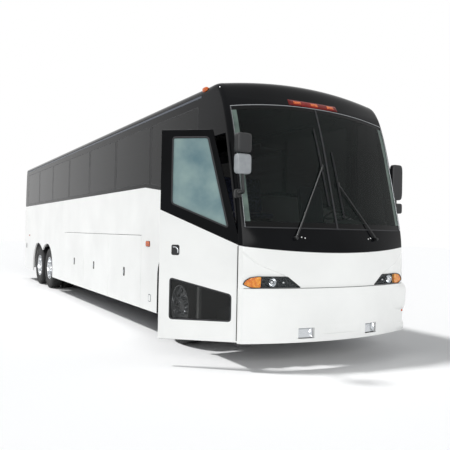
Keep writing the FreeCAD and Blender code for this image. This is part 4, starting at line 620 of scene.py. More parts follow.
    # Axles, knuckles and engine block: cast iron under black paint
    coat("iron", "painted_cast_iron", "1D1E20", 0.62, (14, "191A1B", "2A2725"))
    # Upper pane of the entrance door: painted reflection of the sky, light blue-green with a
    # painted drift of cloud
    coat("door_glass", "door_glass_painted_sky_reflection", "7E999E", 0.03,
         (2.2, "64858E", "9DB6B2", 0.32, 0.68), Specular_IOR_Level=0.5, Alpha=0.80)
    # Lower pane of the door: dark tinted glass, nearly opaque so that its dark is also painted
    # shade of the step well behind, but clear enough to look through
    coat("dark_glass", "tinted_glass_with_painted_shade", "0B0C0B", 0.03, (2.0, "080908", "101211"),
         Specular_IOR_Level=0.35, Alpha=0.74)
    # Clearance lamps over the windscreen: deep orange pressed acrylic
    coat("orange", "orange_lamp_acrylic", "C8500E", 0.14, (30, "B04008", "DC6A1C", 0.4, 0.6),
         Specular_IOR_Level=0.4)
    # Kerb mirror's lower housing: silver-grey painted plastic; the same grey on the plate's
    # backing is painted shade in the recess
    coat("silver", "silver_grey_abs_and_painted_shade", "8D9194", 0.35, (9, "85898C", "969A9D"),
         Specular_IOR_Level=0.5)
    # Expanded metal behind the louvres: dark cells between lighter strands
    tree, shader = coat("mesh", "expanded_steel_mesh", "1A1B1C", 0.55, Metallic=0.6)
    spot = add(tree, "ShaderNodeTexCoord")
    cells = add(tree, "ShaderNodeTexVoronoi", {"Scale": 90.0}, Vector=spot.outputs["Object"])
    ramp = ramped(tree, cells.outputs["Distance"], "060607", "3A3C3E", 0.25, 0.5)
    tree.links.new(ramp, shader.inputs["Base Color"])
    # Parcel racks: grey felt with a needled fleck
    coat("lining", "needled_felt_lining", "8A8C8C", 0.85, (60, "7E8080", "979999", 0.4, 0.6))
    # Driver's seat: plain dark cloth
    coat("dark_cloth", "dark_knitted_cloth", "23262C", 0.92, (120, "1D2026", "2E323A", 0.45, 0.55),
         Sheen_Weight=0.3)
    # Mirror glass
    coat("mirror", "silvered_mirror_glass", "E4E7EA", 0.02, Metallic=1.0)
    return made


def door_lean(z):
    """Distance from the bumper of the doorway's front edge at a height."""
    return 0.319 + 0.352 * np.clip((np.asarray(z, float) - 1.44) / 1.34, 0, 1)


def door_edge(z):
    """Distance from the bumper of the mask's kerb-side edge: along the doorway, then above it."""
    return np.where(z < DOOR_TOP, door_lean(z), 0.671 + 0.35 * (z - DOOR_TOP))


def screen_top(x):
    """Upper edge of the windscreen: nearly level in the middle and falling to the sides."""
    return SCREEN_TOP - SCREEN_DROP * (np.abs(x) / SCREEN_SIDE) ** 2.2


def driver_edge(z):
    """Front edge of the driver's window, which leans back."""
    return 0.56 + 0.28 * (np.asarray(z, float) - 1.76) / 1.47


def side_line(y):
    """Height of the line between white and black along the side."""
    return np.interp(y, [0.2, 0.345, CAP_END, 2.61, 3.27], [1.43, 1.44, 1.838, 2.20, 2.28])


def nose_top(x):
    """Height of the line between white and black on the nose: a parabola, lowest in the middle."""
    return 1.362 + 0.068 * np.minimum(np.abs(x) / NOSE_SIDE, 1) ** 2


def crease(x, z):
    """How far the nose falls back beside the lamps: a smooth step below a line that runs from the
    upper corner down to the lamp's inner end."""
    line = np.interp(np.abs(x), [0.74, 0.79, 1.10, NOSE_SIDE], [1.085, 1.11, 1.235, 1.37])
    inside = np.clip((np.abs(x) - 0.75) / 0.03, 0, 1)
    return -0.014 * ease(line - z, 0.016) * inside


def roof_section(count):
    """Half of the roof's cross-section from the side to the middle: the shoulder's arc, then the
    crown's arc."""
    turn = np.linspace(0, math.pi / 2, count // 3)
    side = np.stack([HALF - SHOULDER + SHOULDER * np.cos(turn),
                     CROWN - RISE - SHOULDER + SHOULDER * np.sin(turn)], -1)
    width = HALF - SHOULDER
    radius = (width**2 + RISE**2) / (2 * RISE)
    x = np.linspace(width, 0, count - count // 3)
    top = np.stack([x, CROWN - radius + np.sqrt(radius**2 - x**2)], -1)
    return np.concatenate([side, top[1:]])


def header_cap():
    """The rounded brow over the windscreen: each line of the patch is a Bezier curve from the
    outline at the top of the windscreen, leaving along the front's own slope, to the roof's
    section, arriving level."""
    half = roof_section(48)
    section = np.concatenate([half * [-1, 1], half[-2::-1]])
    count = len(section)
    end = np.stack([section[:, 0], np.full(count, CAP_END), section[:, 1]], -1)
    z = np.full(count, BROW)
    share = np.abs(section[:, 0]) / HALF
    flat = girth_x(section[:, 0] * (HALF - 0.012) / HALF, z)
    cheek = np.sign(section[:, 0]) * np.abs(girth_y(0.86, BROW, -1))
    bent = cheek + (flat - cheek) * np.clip((1 - share) / 0.04, 0, 1) ** 0.5
    girth = np.where(share < 0.96, flat, bent)
    start = skin(girth, z)
    slope = start - skin(girth, z - 0.01)
    slope /= np.linalg.norm(slope, axis=1)[:, None]
    reach = np.linalg.norm(end - start, axis=1)[:, None]
    lead = start + slope * reach * 0.55
    lead[:, 2] = np.minimum(lead[:, 2], end[:, 2] * 0.35 + lead[:, 2] * 0.65)
    level = end - np.array([0, 1, 0]) * reach * 0.66
    part = np.linspace(0, 1, 26)[None, :, None]
    a, b, c, d = (item[:, None, :] for item in (start, lead, level, end))
    return ((1 - part) ** 3 * a + 3 * part * (1 - part) ** 2 * b
            + 3 * part**2 * (1 - part) * c + part**3 * d)


class COACH_OT_front(bpy.types.Operator):
    """Nose, black mask and brow of the front end"""
    bl_idname = "coach.front"
    bl_label = "Front end"

    def execute(self, context):
        def lamp_low(x):
            return np.interp(np.abs(x), [LAMP_START, 0.60, 1.17, NOSE_SIDE],
                             [0.957, 0.952, 0.950, 0.990])

        def lamp_high(x):
            return np.interp(np.abs(x), [LAMP_START, 0.74, 1.10, 1.19, 1.24, NOSE_SIDE],
                             [0.957, 1.083, 1.086, 1.070, 1.035, 0.990])

        low = 0.945  # lower edge of the nose

        def near_door(share):
            return 1.430 + 0.008 * share

        def behind(share):
            """Upper edge of the white along the driver's side."""
            return np.interp(share, [0, 0.055, 1], [1.430, 1.440, 1.838])

        def sill(share):
            """Lower edge of the driver's window, and of the windscreen's pillar before it."""
            return np.interp(0.30 + share * (CAP_END - 0.30),
                             [0.30, 0.539, 0.56, PANE_REAR, CAP_END],
                             [SCREEN_LOW, SCREEN_LOW, 1.76, 1.87, 1.88])

        whites = []
        for side in (-1, 1):
            inner = [side * 0.0, side * LAMP_START]
            outer = [side * LAMP_START, side * NOSE_SIDE]
            whites.append(span(24, 16, *inner, low, 0.957))
            whites.append(span(24, 60, *inner, 0.957, nose_top))
            whites.append(span(60, 16, *outer, low, lamp_low))
            x = np.linspace(*outer, 80)[:, None] + np.zeros((1, 60))
            z = lamp_high(x) + (nose_top(x) - lamp_high(x)) * np.linspace(0, 1, 60)[None, :]
            whites.append(on_front(x, z, crease(x, z)))
        for rows, bottom, by_door, by_window in ((16, low, 0.990, 0.990),
                                                 (60, 0.990, near_door, behind)):
            whites.append(face(14, rows, bottom, by_door, at_x(-NOSE_SIDE), at_y(NOSE_BACK, -1)))
            whites.append(face(60, rows, bottom, by_window, at_x(NOSE_SIDE), at_y(CAP_END, 1)))
        skin_thickness = context.scene.coach_sizes.skin_thickness
        piece("nose", whites, "white", slot="body_white", thick=skin_thickness,
              stands_for=("nose_panel",), facing=(0, -1, 0))
        blacks = [span(60, 12, -SCREEN_SIDE, SCREEN_SIDE, nose_top, SCREEN_LOW),
                  span(60, 6, -SCREEN_SIDE, SCREEN_SIDE, screen_top, BROW),
                  span(3, 60, -0.014, 0.014, SCREEN_LOW, screen_top)]
        for x0, x1 in ((-NOSE_SIDE, -SCREEN_SIDE), (SCREEN_SIDE, NOSE_SIDE)):
            blacks.append(span(6, 12, x0, x1, nose_top, SCREEN_LOW))
        blacks += [face(*patch) for patch in (
            (10, 12, near_door, SCREEN_LOW, at_x(-NOSE_SIDE), at_y(door_lean, -1)),
            (60, 12, behind, sill, at_x(NOSE_SIDE), at_y(CAP_END, 1)),
            (14, 60, SCREEN_LOW, BROW, at_x(-SCREEN_SIDE), at_y(door_edge, -1)),
            (24, 14, DOOR_TOP + 0.008, BROW, at_y(door_edge, -1), at_y(CAP_END, -1)),
            (16, 60, SCREEN_LOW, BROW, at_x(SCREEN_SIDE), at_y(driver_edge, 1)),
            (4, 40, lambda share: 1.87 + 0.01 * share, BROW, at_y(PANE_REAR, 1),
             at_y(CAP_END, 1)),
            (14, 3, WINDOW_TOP, BROW, at_y(PANE_FRONT, 1), at_y(PANE_REAR, 1)))]
        piece("mask", blacks, "black", slot="body_black", thick=skin_thickness,
              stands_for=("front_mask",), facing=(0, -1, 0))
        cap = header_cap()
        cheeks = []
        for rim in (cap[0], cap[-1]):
            cheek = np.repeat(rim[:, None], 6, 1)
            cheek[..., 2] = BROW + (rim[:, None, 2] - BROW) * np.linspace(0, 1, 6)[None]
            cheeks.append(cheek)
        lining = cap * [0.992, 1, 1] + [0, 0.015, -0.014]
        band = face(160, 4, 3.235, 3.30, at_y(CAP_END, -1), at_y(CAP_END, 1), -0.012)
        piece("brow_lining", [lining, band], "black", thick=0.004, facing=(0, -1, 0))
        piece("brow", [cap] + cheeks, "black", slot="body_black", thick=skin_thickness,
              stands_for=("front_mask",), facing=(0, 0, 1))
        return {"FINISHED"}


class COACH_OT_screen(bpy.types.Operator):
    """Both panes of the windscreen, their rubber and the wipers"""
    bl_idname = "coach.screen"
    bl_label = "Windscreen and wipers"

    def execute(self, context):
        def under_top(x):
            return screen_top(x) - 0.05

        panes, frits, edges, trims = [], [], [], []
        for side in (-1, 1):
            near, far = sorted((side * 0.014, side * SCREEN_SIDE))
            panes.append(span(40, 40, near, far, SCREEN_LOW, screen_top, -0.001))
            frits.append(span(40, 5, near, far, SCREEN_LOW, SCREEN_LOW + 0.07, 0.0005))
            frits.append(span(40, 5, near, far, under_top, screen_top, 0.0005))
            # Bands of painted light along the windscreen's sides.
            edge = sorted((side * (SCREEN_SIDE - 0.075), side * SCREEN_SIDE))
            edges.append(span(8, 40, *edge, SCREEN_LOW + 0.07, under_top, 0.0005))
        piece("windscreen_panes", panes, "screen", slot="screen_glass",
              stands_for=("windscreen",), facing=(0, -1, 0))
        piece("windscreen_frit", frits, "frit", facing=(0, -1, 0))
        piece("windscreen_painted_light_bands", edges, "edge", facing=(0, -1, 0))
        rubbers = []
        for side in (-1, 1):
            z = np.linspace(SCREEN_LOW, screen_top(SCREEN_SIDE), 40)
            x = np.full(40, side * SCREEN_SIDE)
            rubbers.append(sweep(on_front(x, z, 0.002), 0.009, 0.006, 8, hint=(side, 0, 0)))
            trims.append(sweep(on_front(x - side * 0.006, z, 0.008), 0.003, 0.002, 8,
                               hint=(side, 0, 0)))
        x = np.linspace(-SCREEN_SIDE, SCREEN_SIDE, 61)
        z = screen_top(x) + 0.004
        trims.append(sweep(on_front(x, z, 0.009), 0.002, 0.003, 8, hint=(0, 0, 1)))
        piece("windscreen_bright_trim", trims, "steel", closed=BAR, weld=0.0)
        for z in (screen_top(x), np.full(61, SCREEN_LOW)):
            rubbers.append(sweep(on_front(x, z, 0.002), 0.006, 0.008, 8, hint=(0, 0, 1)))
        z = np.linspace(SCREEN_LOW, SCREEN_TOP, 40)
        rubbers.append(sweep(skin(0 * z, z, 0.003), 0.013, 0.006, 8, power=0.6, hint=(0, -1, 0)))
        piece("windscreen_rubber", rubbers, "gasket", closed=BAR)
        arms, blades = [], []
        for side, low, high, bottom, top in ((-1, -0.075, -0.110, 1.93, 2.93),
                                             (1, 0.135, 0.115, 1.79, 2.64)):
            z = np.linspace(bottom, top, 24)
            x = np.linspace(low, high, 24)
            blades.append(sweep(on_front(x, z, 0.010), 0.004, 0.009, 8, hint=(1, 0, 0)))
            blades.append(sweep(on_front(x, z, 0.019), 0.007, 0.004, 8, hint=(1, 0, 0),
                                taper=(0.5, 1, 1, 1, 0.5)))
            middle, height = (low + high) / 2, (bottom + top) / 2
            pivot = on_front(side * PIVOT_X, PIVOT_Z, 0.026)
            tip = on_front(middle, height, 0.030)
            bend = pivot * 0.82 + tip * 0.18 + np.array([0, -0.008, 0])
            arms.append(sweep(smooth_path([pivot, bend, tip], 16), 0.011, 0.006, 8, power=0.6,
                              taper=(1.3, 1.2, 0.8, 0.6), hint=(0, -1, 0)))
            arms.append(revolve([(0.035, 0.0), (0.035, 0.019), (-0.012, 0.022), (-0.026, 0.017),
                                 (-0.030, 0.0)], "y", pivot, 24))
            arms.append(pebble(tip, (0.012, 0.008, 0.03), 0.6, 0.6, 12, 8))
        piece("wiper_arms", arms, "arm", slot="black_plastic", stands_for=("wipers",),
              closed=RING, weld=0.0)
        piece("wiper_blades", blades, "gasket", closed=BAR, weld=0.0)
        nozzles = [pebble(on_front(side * x, z, 0.005), (0.008, 0.008, 0.007), 0.8, 0.8, 14, 8)
                   for side in (-1, 1) for x, z in ((0.50, 1.535), (0.545, 1.545))]
        piece("washer_nozzles", nozzles, "white", closed=ROUND)
        return {"FINISHED"}


def sunk(outline, depth, place, count=6):
    """The wall of a recess: an outline carried from the skin down to a depth."""
    loop = np.asarray(outline, float)
    level = -depth * np.linspace(0, 1, count)
    points = place(loop[:, 0][:, None] + 0 * level, loop[:, 1][:, None] + 0 * level,
                   0 * loop[:, 0][:, None] + level)
    return np.concatenate([points, points[:1]])


class COACH_OT_bumpers(bpy.types.Operator):
    """Front bumper with its plate recess and fog lamps"""
    bl_idname = "coach.bumpers"
    bl_label = "Front bumper"

    def execute(self, context):
        low, high, back, corner = 0.315, 0.944, 0.319, 1.250
        near, far, fog_low, fog_high = FOG
        half, recess_low, recess_high = RECESS

        def proud(x, z):
            """How far the bumper stands off the nose: rolled in at both edges, swelling towards
            the driver's corner at the middle of its height, and set back by a smooth step round
            the lamps."""
            roll = 1 - quarter_round(np.minimum(z - low, high - z), 0.045)
            waist = between(z, WAIST, 1)
            set_back = (ease(0.665 + (0.50 - z) * 0.25 - np.abs(x), 0.022)
                        * ease(0.535 - z, 0.016))
            swell = 0.027 + 0.036 * ease(x - 0.90, 0.34)
            return swell * waist - 0.010 * roll - 0.012 * set_back

        def lip(x, z, lift):
            return on_front(x, z, proud(x, z) + lift)

        def strip(n, m, ends, z0, z1, out=0.0):
            return lip(*sheet(*ends, n, z0, z1, m), out)

        def opening(side):
            return rounded([(side * near, fog_low), (side * far, fog_low), (side * far, fog_high),
                            (side * near, fog_high)], 0.0005, 3)

        white, dark = [], []
        for side in (-1, 1):
            def cut(a, b):
                return sorted((side * a, side * b))

            white.append(strip(8, 64, cut(half, near), low, high))
            white.append(strip(110, 64, cut(far, corner), low, high))
            for bottom, top in ((low, recess_low), (recess_high, high)):
                white.append(strip(20, 36, cut(0.0, half), bottom, top))
            for bottom, top in ((low, fog_low), (fog_high, high)):
                white.append(strip(14, 36, cut(near, far), bottom, top))
            across, z = sheet(0, 1, 24, low, high, 64)
            start, end = girth_x(side * corner, z), girth_y(back, z, side)
            fall = proud(side * corner, z)
            foot, bend = (0.012, 3) if side > 0 else (-0.006, 0.8)
            white.append(skin(start + (end - start) * across, z,
                              fall + (foot - fall) * across**bend))
            white.append(sunk(opening(side), 0.03, lip))
            dark.append(strip(10, 8, cut(near, far), fog_low, fog_high, -0.03))
        plate = rounded([(-half, recess_low), (half, recess_low), (half, recess_high),
                         (-half, recess_high)], 0.0005, 3)
        white.append(sunk(plate, 0.024, lip))
        # Grey backing in the plate recess: painted shade under the bumper's lip.
        x, z = sheet(-half, half, 30, recess_low, recess_high, 10)
        depth = 0.006 + 0.018 * (recess_high - z) / (recess_high - recess_low)
        piece("plate_recess_painted_shade", [lip(x, z, -depth)], "silver", facing=(0, -1, 0))
        piece("front_bumper", white, "white", slot="body_white", thick=0.0, facing=(0, -1, 0))
        piece("fog_lamp_wells", dark, "abs", facing=(0, -1, 0))
        bowls, lenses, screws = [], [], []
        for side in (-1, 1):
            x, z = sheet(side * 0.406, side * 0.602, 40, 0.366, 0.474, 26)
            edge = np.minimum(0.098 - np.abs(np.abs(x) - 0.504), 0.054 - np.abs(z - 0.42))
            dish = np.clip(edge / 0.05, 0, 1)
            bowls.append(lip(x, z, -0.006 - 0.020 * dish * (2 - dish)))
            lenses.append(lip(x, z, -0.002 - 0.004 * (1 - np.clip(edge / 0.008, 0, 1))))
            for x in (side * near, side * far):
                screws.append(revolve([(-0.004, 0.0), (-0.004, 0.006), (0.004, 0.008),
                                       (0.004, 0.0)], "y", lip(x, 0.492, 0.0), 12))
        piece("fog_lamp_bowls", bowls, "chrome", slot="lamp_lens", facing=(0, -1, 0))
        piece("fog_lamp_lenses", lenses, "lens", slot="lamp_lens", facing=(0, -1, 0))
        piece("fog_lamp_screws", screws, "steel", closed=ROUND)
        holes = [revolve([(-0.002, 0.0), (-0.002, 0.0035), (0.003, 0.0045), (0.003, 0.0)], "y",
                         lip(side * 0.0889, 0.456, -0.010), 12) for side in (-1, 1)]
        piece("plate_studs", holes, "steel", closed=ROUND)
        lines = []
        for side in (-1, 1):
            x = side * np.linspace(0.790, 0.865, 24)
            z = np.linspace(0.40, 0.80, 24)
            lines.append(sweep(lip(x, z, 0.0), 0.0018, 0.0010, 6, hint=(0, -1, 0)))
        piece("bumper_seams", lines, "lining", closed=BAR)
        x = np.linspace(-1.25, 1.25, 90)
        gap = on_front(x, 0.9455 + 0 * x, 0.001)
        piece("bumper_gap", [sweep(gap, 0.002, 0.004, 6, hint=(0, 0, 1))], "shadow", closed=BAR)
        z = np.linspace(0.34, 1.43, 30)
        joint = np.stack([-1.293 + 0 * z, 0.331 + 0 * z, z], -1)
        piece("door_hinge_seal", [sweep(joint, 0.003, 0.006, 8, hint=(1, 0, 0))], "gasket",
              closed=BAR)
        markers = [pebble(lip(side * 1.22, 0.58, 0.0),
                          (0.030, 0.010, 0.013), 0.5, 0.5, 20, 10) for side in (-1, 1)]
        piece("bumper_markers", markers, "orange", closed=ROUND)
        return {"FINISHED"}


class COACH_OT_lamps(bpy.types.Operator):
    """Headlamps, clearance lamps, side markers and tail lamps"""
    bl_idname = "coach.lamps"
    bl_label = "Lamps"

    def execute(self, context):
        shells, ambers, clears, chromes, blanks, bulbs, rims = [], [], [], [], [], [], []
        for side in (-1, 1):
            outline = np.array([(0.582, 0.9565), (0.606, 0.9535), (1.17, 0.9515), (1.258, 0.990),
                                (1.236, 1.034), (1.186, 1.068), (1.098, 1.0835), (0.742, 1.0805)])
            outline = outline * [side, 1]
            loop = rounded(outline, (0.008, 0.006, 0.03, 0.016, 0.016, 0.02, 0.03, 0.02), 5)
            shells.append(sunk(loop, 0.045, on_front))
            disc = filled(loop, 12)
            shells.append(on_front(disc[..., 0], disc[..., 1], -0.045 + 0 * disc[..., 0]))
            bulge = 0.006 * (1 - np.linspace(1, 0, 12) ** 4)[None, :] + 0 * disc[..., 0]
            clears.append(on_front(disc[..., 0], disc[..., 1], bulge))
            amber = np.array([(1.062, 0.957), (1.168, 0.9565), (1.250, 0.991), (1.229, 1.031),
                              (1.180, 1.064), (1.098, 1.079), (1.056, 1.078)]) * [side, 1]
            amber = rounded(amber, (0.008, 0.03, 0.016, 0.016, 0.02, 0.02, 0.008), 5)
            fill = filled(amber, 8)
            ambers.append(on_front(fill[..., 0], fill[..., 1], -0.006 + 0 * fill[..., 0]))
            ambers.append(sunk(amber, 0.03, lambda x, z, lift: on_front(x, z, lift - 0.006)))
            for x, z, size in ((0.925, 1.017, 0.050), (0.785, 1.012, 0.036)):
                spot = on_front(side * x, z, -0.012)
                bowl = np.array([(0.040, 0.0), (0.038, 0.35), (0.026, 0.72), (0.008, 0.96),
                                 (0.0, 1.0), (-0.003, 1.06)]) * [1, size]
                (chromes if x > 0.85 else blanks).append(revolve(bowl, "y", spot, 40))
                bulbs.append(pebble(spot + [0, 0.010, 0], (size * 0.30, 0.014, size * 0.30), 1, 1,
                                    24, 12))
            rims.append(beading(loop, 0.0035, 0.002, on_front))
        piece("headlamp_housings", shells, "frit", slot="lamp_lens",
              stands_for=("front_lamps",), facing=(0, -1, 0))
        piece("headlamp_bowls", chromes, "chrome", closed=ROUND)
        piece("headlamp_inner_bowls", blanks, "arm", closed=ROUND)
        # Projectors coloured near white: painted light of a lit bulb.
        piece("headlamp_projectors", bulbs, "glow", closed=ROUND)
        piece("turn_lamps", ambers, "amber", facing=(0, -1, 0))
        piece("headlamp_lenses", clears, "lens", slot="lamp_lens", facing=(0, -1, 0))
        piece("headlamp_rims", rims, "gasket", closed=RING)
        x, z = sheet(-0.40, 0.40, 90, 3.225, 3.318, 14)
        edge = np.minimum(0.40 - np.abs(x), np.minimum(z - 3.225, 3.318 - z))
        lift = 0.034 * quarter_round(edge, 0.03) - 0.012
        piece("brow_lamp_pod", [on_front(x, z, lift)], "ruby", slot="marker_lens",
              stands_for=("marker_lamps",), facing=(0, -1, 0))
        brights = []
        for middle in (-0.27, 0.0, 0.27):
            x, z = sheet(middle - 0.062, middle + 0.062, 20, 3.248, 3.296, 10)
            edge = np.minimum(0.062 - np.abs(x - middle), np.minimum(z - 3.248, 3.296 - z))
            brights.append(on_front(x, z, 0.014 + 0.013 * quarter_round(edge, 0.02)))
        piece("brow_lamps", brights, "orange", facing=(0, -1, 0))
        markers, beds = [], []
        for side in (-1, 1):
            for y, z, wide, tall in MARKERS:
                markers.append(pebble((side * (HALF + 0.004), y, z), (0.009, wide, tall), 0.35,
                                      0.35, 32, 16))
                beds.append(pebble((side * HALF, y, z), (0.004, wide + 0.008, tall + 0.006), 0.3,
                                   0.3, 24, 10))
            markers.append(pebble((side * (HALF - 0.014), 1.255, 3.432), (0.026, 0.062, 0.030),
                                  0.6, 0.6, 24, 12))
        piece("side_markers", markers, "orange", closed=ROUND)
        piece("side_marker_beds", beds, "abs", closed=ROUND)
        reds, ambers, clears, rims = [], [], [], []
        behind = on_rear()
        for side in (-1, 1):
            for low, group in ((1.012, reds), (1.192, reds), (1.372, ambers)):
                x, z = sheet(0.968, 1.112, 40, low, low + 0.172, 44)
                edge = np.minimum(0.072 - np.abs(x - 1.04), 0.086 - np.abs(z - low - 0.086))
                lift = 0.010 * quarter_round(edge, 0.015)
                lift = lift + 0.0012 * np.sin(z * 2 * math.pi / 0.010) * np.clip(edge / 0.01, 0, 1)
                group.append(behind(side * x, z, lift))
            frame = np.array([(0.962, 1.002), (1.118, 1.002), (1.118, 1.558), (0.962, 1.558)])
            rims.append(beading(rounded(frame * [side, 1], 0.015), 0.006, 0.005, behind))
        piece("tail_lamps_red", reds, "red", slot="tail_lens", stands_for=("tail_lamps",),
              facing=(0, 1, 0))
        piece("tail_lamps_amber", ambers, "amber", facing=(0, 1, 0))
        piece("tail_lamp_frames", rims, "abs", closed=RING)
        for x, z in ((-0.40, 3.46), (0.0, 3.47), (0.40, 3.46)):
            clears.append(pebble(behind(x, z, 0.003), (0.06, 0.008, 0.014), 0.5, 0.5, 24, 10))
        for side in (-1, 1):
            clears.append(pebble(behind(side * 1.03, 0.74, 0.004),
                                 (0.04, 0.007, 0.04), 1, 0.5, 32, 10))
        piece("rear_markers", clears, "red", closed=ROUND)
        return {"FINISHED"}


class COACH_OT_mirrors(bpy.types.Operator):
    """Outside mirrors with their glass and arms"""
    bl_idname = "coach.mirrors"
    bl_label = "Mirrors"

    def execute(self, context):
        shells, glass, arms = [], [], []
        heads = [((-1.390, 0.105, 2.348), (0.098, 0.050, 0.112)),
                 ((-1.390, 0.105, 2.580), (0.098, 0.050, 0.112)),
                 ((1.400, 0.530, 2.335), (0.099, 0.050, 0.249)),
                 ((1.400, 0.530, 1.968), (0.099, 0.050, 0.072))]
        for centre, half in heads:
            block = pebble(centre, half, 0.42, 0.32, 48, 28)
            front = block[..., 1] < centre[1]
            block[..., 1] = np.where(front, centre[1] - (centre[1] - block[..., 1]) * 0.98,
                                     centre[1] + (block[..., 1] - centre[1]) * 0.72)
            shells.append(block)
            pane = pebble((centre[0], centre[1] + half[1] * 0.72, centre[2]),
                          (half[0] * 0.86, 0.004, half[2] * 0.88), 0.3, 0.35, 40, 16)
            glass.append(pane)
        kerb = [(-1.235, 0.40, 2.04), (-1.30, 0.30, 2.04), (-1.365, 0.12, 2.04),
                (-1.385, 0.10, 2.12), (-1.388, 0.10, 2.30)]
        driver = [(1.250, 0.53, 2.062), (1.31, 0.53, 2.064), (1.400, 0.53, 2.062)]
        for points, count, across, up, hint in ((kerb, 28, 0.017, 0.017, (1, 0.2, 0)),
                ([(-1.388, 0.11, 2.42), (-1.39, 0.11, 2.52)], 6, 0.02, 0.02, (0, 1, 0)),
                (driver, 16, 0.024, 0.016, (0, 0, 1)),
                ([(1.400, 0.53, 2.02), (1.400, 0.53, 2.10)], 8, 0.018, 0.018, (0, 1, 0))):
            arms.append(sweep(smooth_path(points, count), across, up, 16, hint=hint))
        arms.append(pebble((-1.262, 0.41, 2.04), (0.040, 0.040, 0.055), 0.5, 0.5, 24, 14))
        arms.append(pebble((1.285, 0.53, 2.062), (0.022, 0.045, 0.050), 0.5, 0.5, 24, 14))
        piece("mirror_housings", shells[1:], "abs", slot="black_plastic",
              stands_for=("mirrors",), closed=ROUND)
        piece("kerb_mirror_lower_housing", shells[:1], "silver", closed=ROUND)
        piece("mirror_glass", glass, "mirror", closed=ROUND)
        piece("mirror_arms", arms[:4], "arm", closed=BAR, weld=0.0)
        piece("mirror_feet", arms[4:], "arm", closed=ROUND)
        return {"FINISHED"}


class COACH_OT_door(bpy.types.Operator):
    """Rubber, lock and handles on the open entrance door"""
    bl_idname = "coach.entrance_door"
    bl_label = "Entrance door trim"

    def execute(self, context):
        outer, inner = on_leaf(), on_leaf(-DOOR_THICK)
        lock = DOOR_LEAF - 0.138
        low = np.array([(0.080, 0.562), (lock, 0.562), (lock, 1.035), (0.080, 0.862)])
        high = np.array([(0.128, 1.640), (lock, 1.915), (lock, 2.692),
                         (0.128 + 0.352 * 0.72, 2.692)])
        rubbers = []
        for place in (outer, inner):
            for outline in (low, high):
                rubbers.append(beading(rounded(outline, 0.035), 0.010, 0.004, place))
        facing = (-math.cos(math.radians(DOOR_OPEN)), -math.sin(math.radians(DOOR_OPEN)), 0)
        # Lower pane: dark tinted glass, partly painted shade of the step well behind.
        # Upper pane: its finish is a painted reflection of the sky.
        for name, outline, glass in (("door_lower_pane", low, "dark_glass"),
                                     ("door_upper_pane", high, "door_glass")):
            fill = filled(rounded(outline, 0.035, 8), 10)[:-1]
            pane = outer(fill[..., 0], fill[..., 1], -0.012)
            piece(name, [pane], glass, "entrance_door", "dark_glass", 0.005,
                  stands_for=("door_glass",), facing=facing, closed=ROUND)
        piece("door_window_rubber", rubbers, "gasket", "entrance_door", closed=RING)
        core = on_leaf(-DOOR_THICK / 2)
        edge = core(np.full(40, DOOR_LEAF - 0.001), np.linspace(0.34, 2.77, 40), 0.0)
        piece("door_edge_seal", [sweep(edge, 0.003, 0.012, 8, hint=(0.6, 0.8, 0))], "gasket",
              "entrance_door", closed=BAR)
        frame = rounded([(0.705, 1.310), (0.795, 1.310), (0.795, 1.425), (0.705, 1.425)], 0.02)
        fill = filled(frame, 6)
        cup = outer(fill[..., 0], fill[..., 1], 0.0015 - 0.0005 * np.linspace(0, 1, 6)[None])
        piece("door_handle_cup", [cup], "abs", "entrance_door", facing=facing)
        piece("door_handle_rim", [beading(frame, 0.004, 0.004, outer)], "arm", "entrance_door",
              closed=RING)
        lever = smooth_path([(0.718, 1.335), (0.722, 1.375), (0.745, 1.400), (0.780, 1.402)], 16)
        piece("door_handle_lever", [sweep(outer(lever[:, 0], lever[:, 1], 0.008 + 0 * lever[:, 0]),
                                          0.007, 0.005, 10, hint=(0.6, 0.8, 0))],
              "steel", "entrance_door", closed=BAR)
        bar = smooth_path([(0.20, 0.98), (0.30, 1.06), (0.55, 1.30), (0.66, 1.42),
                           (0.72, 1.45)], 30)
        lift = np.interp(np.linspace(0, 1, 30), [0, 0.12, 0.88, 1], [0.0, -0.055, -0.055, 0.0])
        rail = inner(bar[:, 0], bar[:, 1], lift)
        piece("door_grab_rail", [sweep(rail, 0.014, 0.014, 12, hint=(0.3, 0.2, 0.9))], "steel",
              "entrance_door", closed=BAR)
        boss = [pebble(inner(s, z, -0.004), (0.022, 0.022, 0.022), 0.8, 0.8,
                       18, 10) for s, z in ((0.20, 0.98), (0.72, 1.45))]
        piece("door_rail_bosses", boss, "steel", "entrance_door", closed=ROUND)
        trims = []
        for shut in (0.322, 2.78):
            s = np.linspace(0.36 if shut > 1 else 0.0, DOOR_LEAF - 0.01, 20)
            trims.append(sweep(core(s, np.full(20, shut), 0.0), 0.012, 0.006, 8))
        piece("door_brush_seals", trims, "gasket", "entrance_door", closed=BAR)
        return {"FINISHED"}


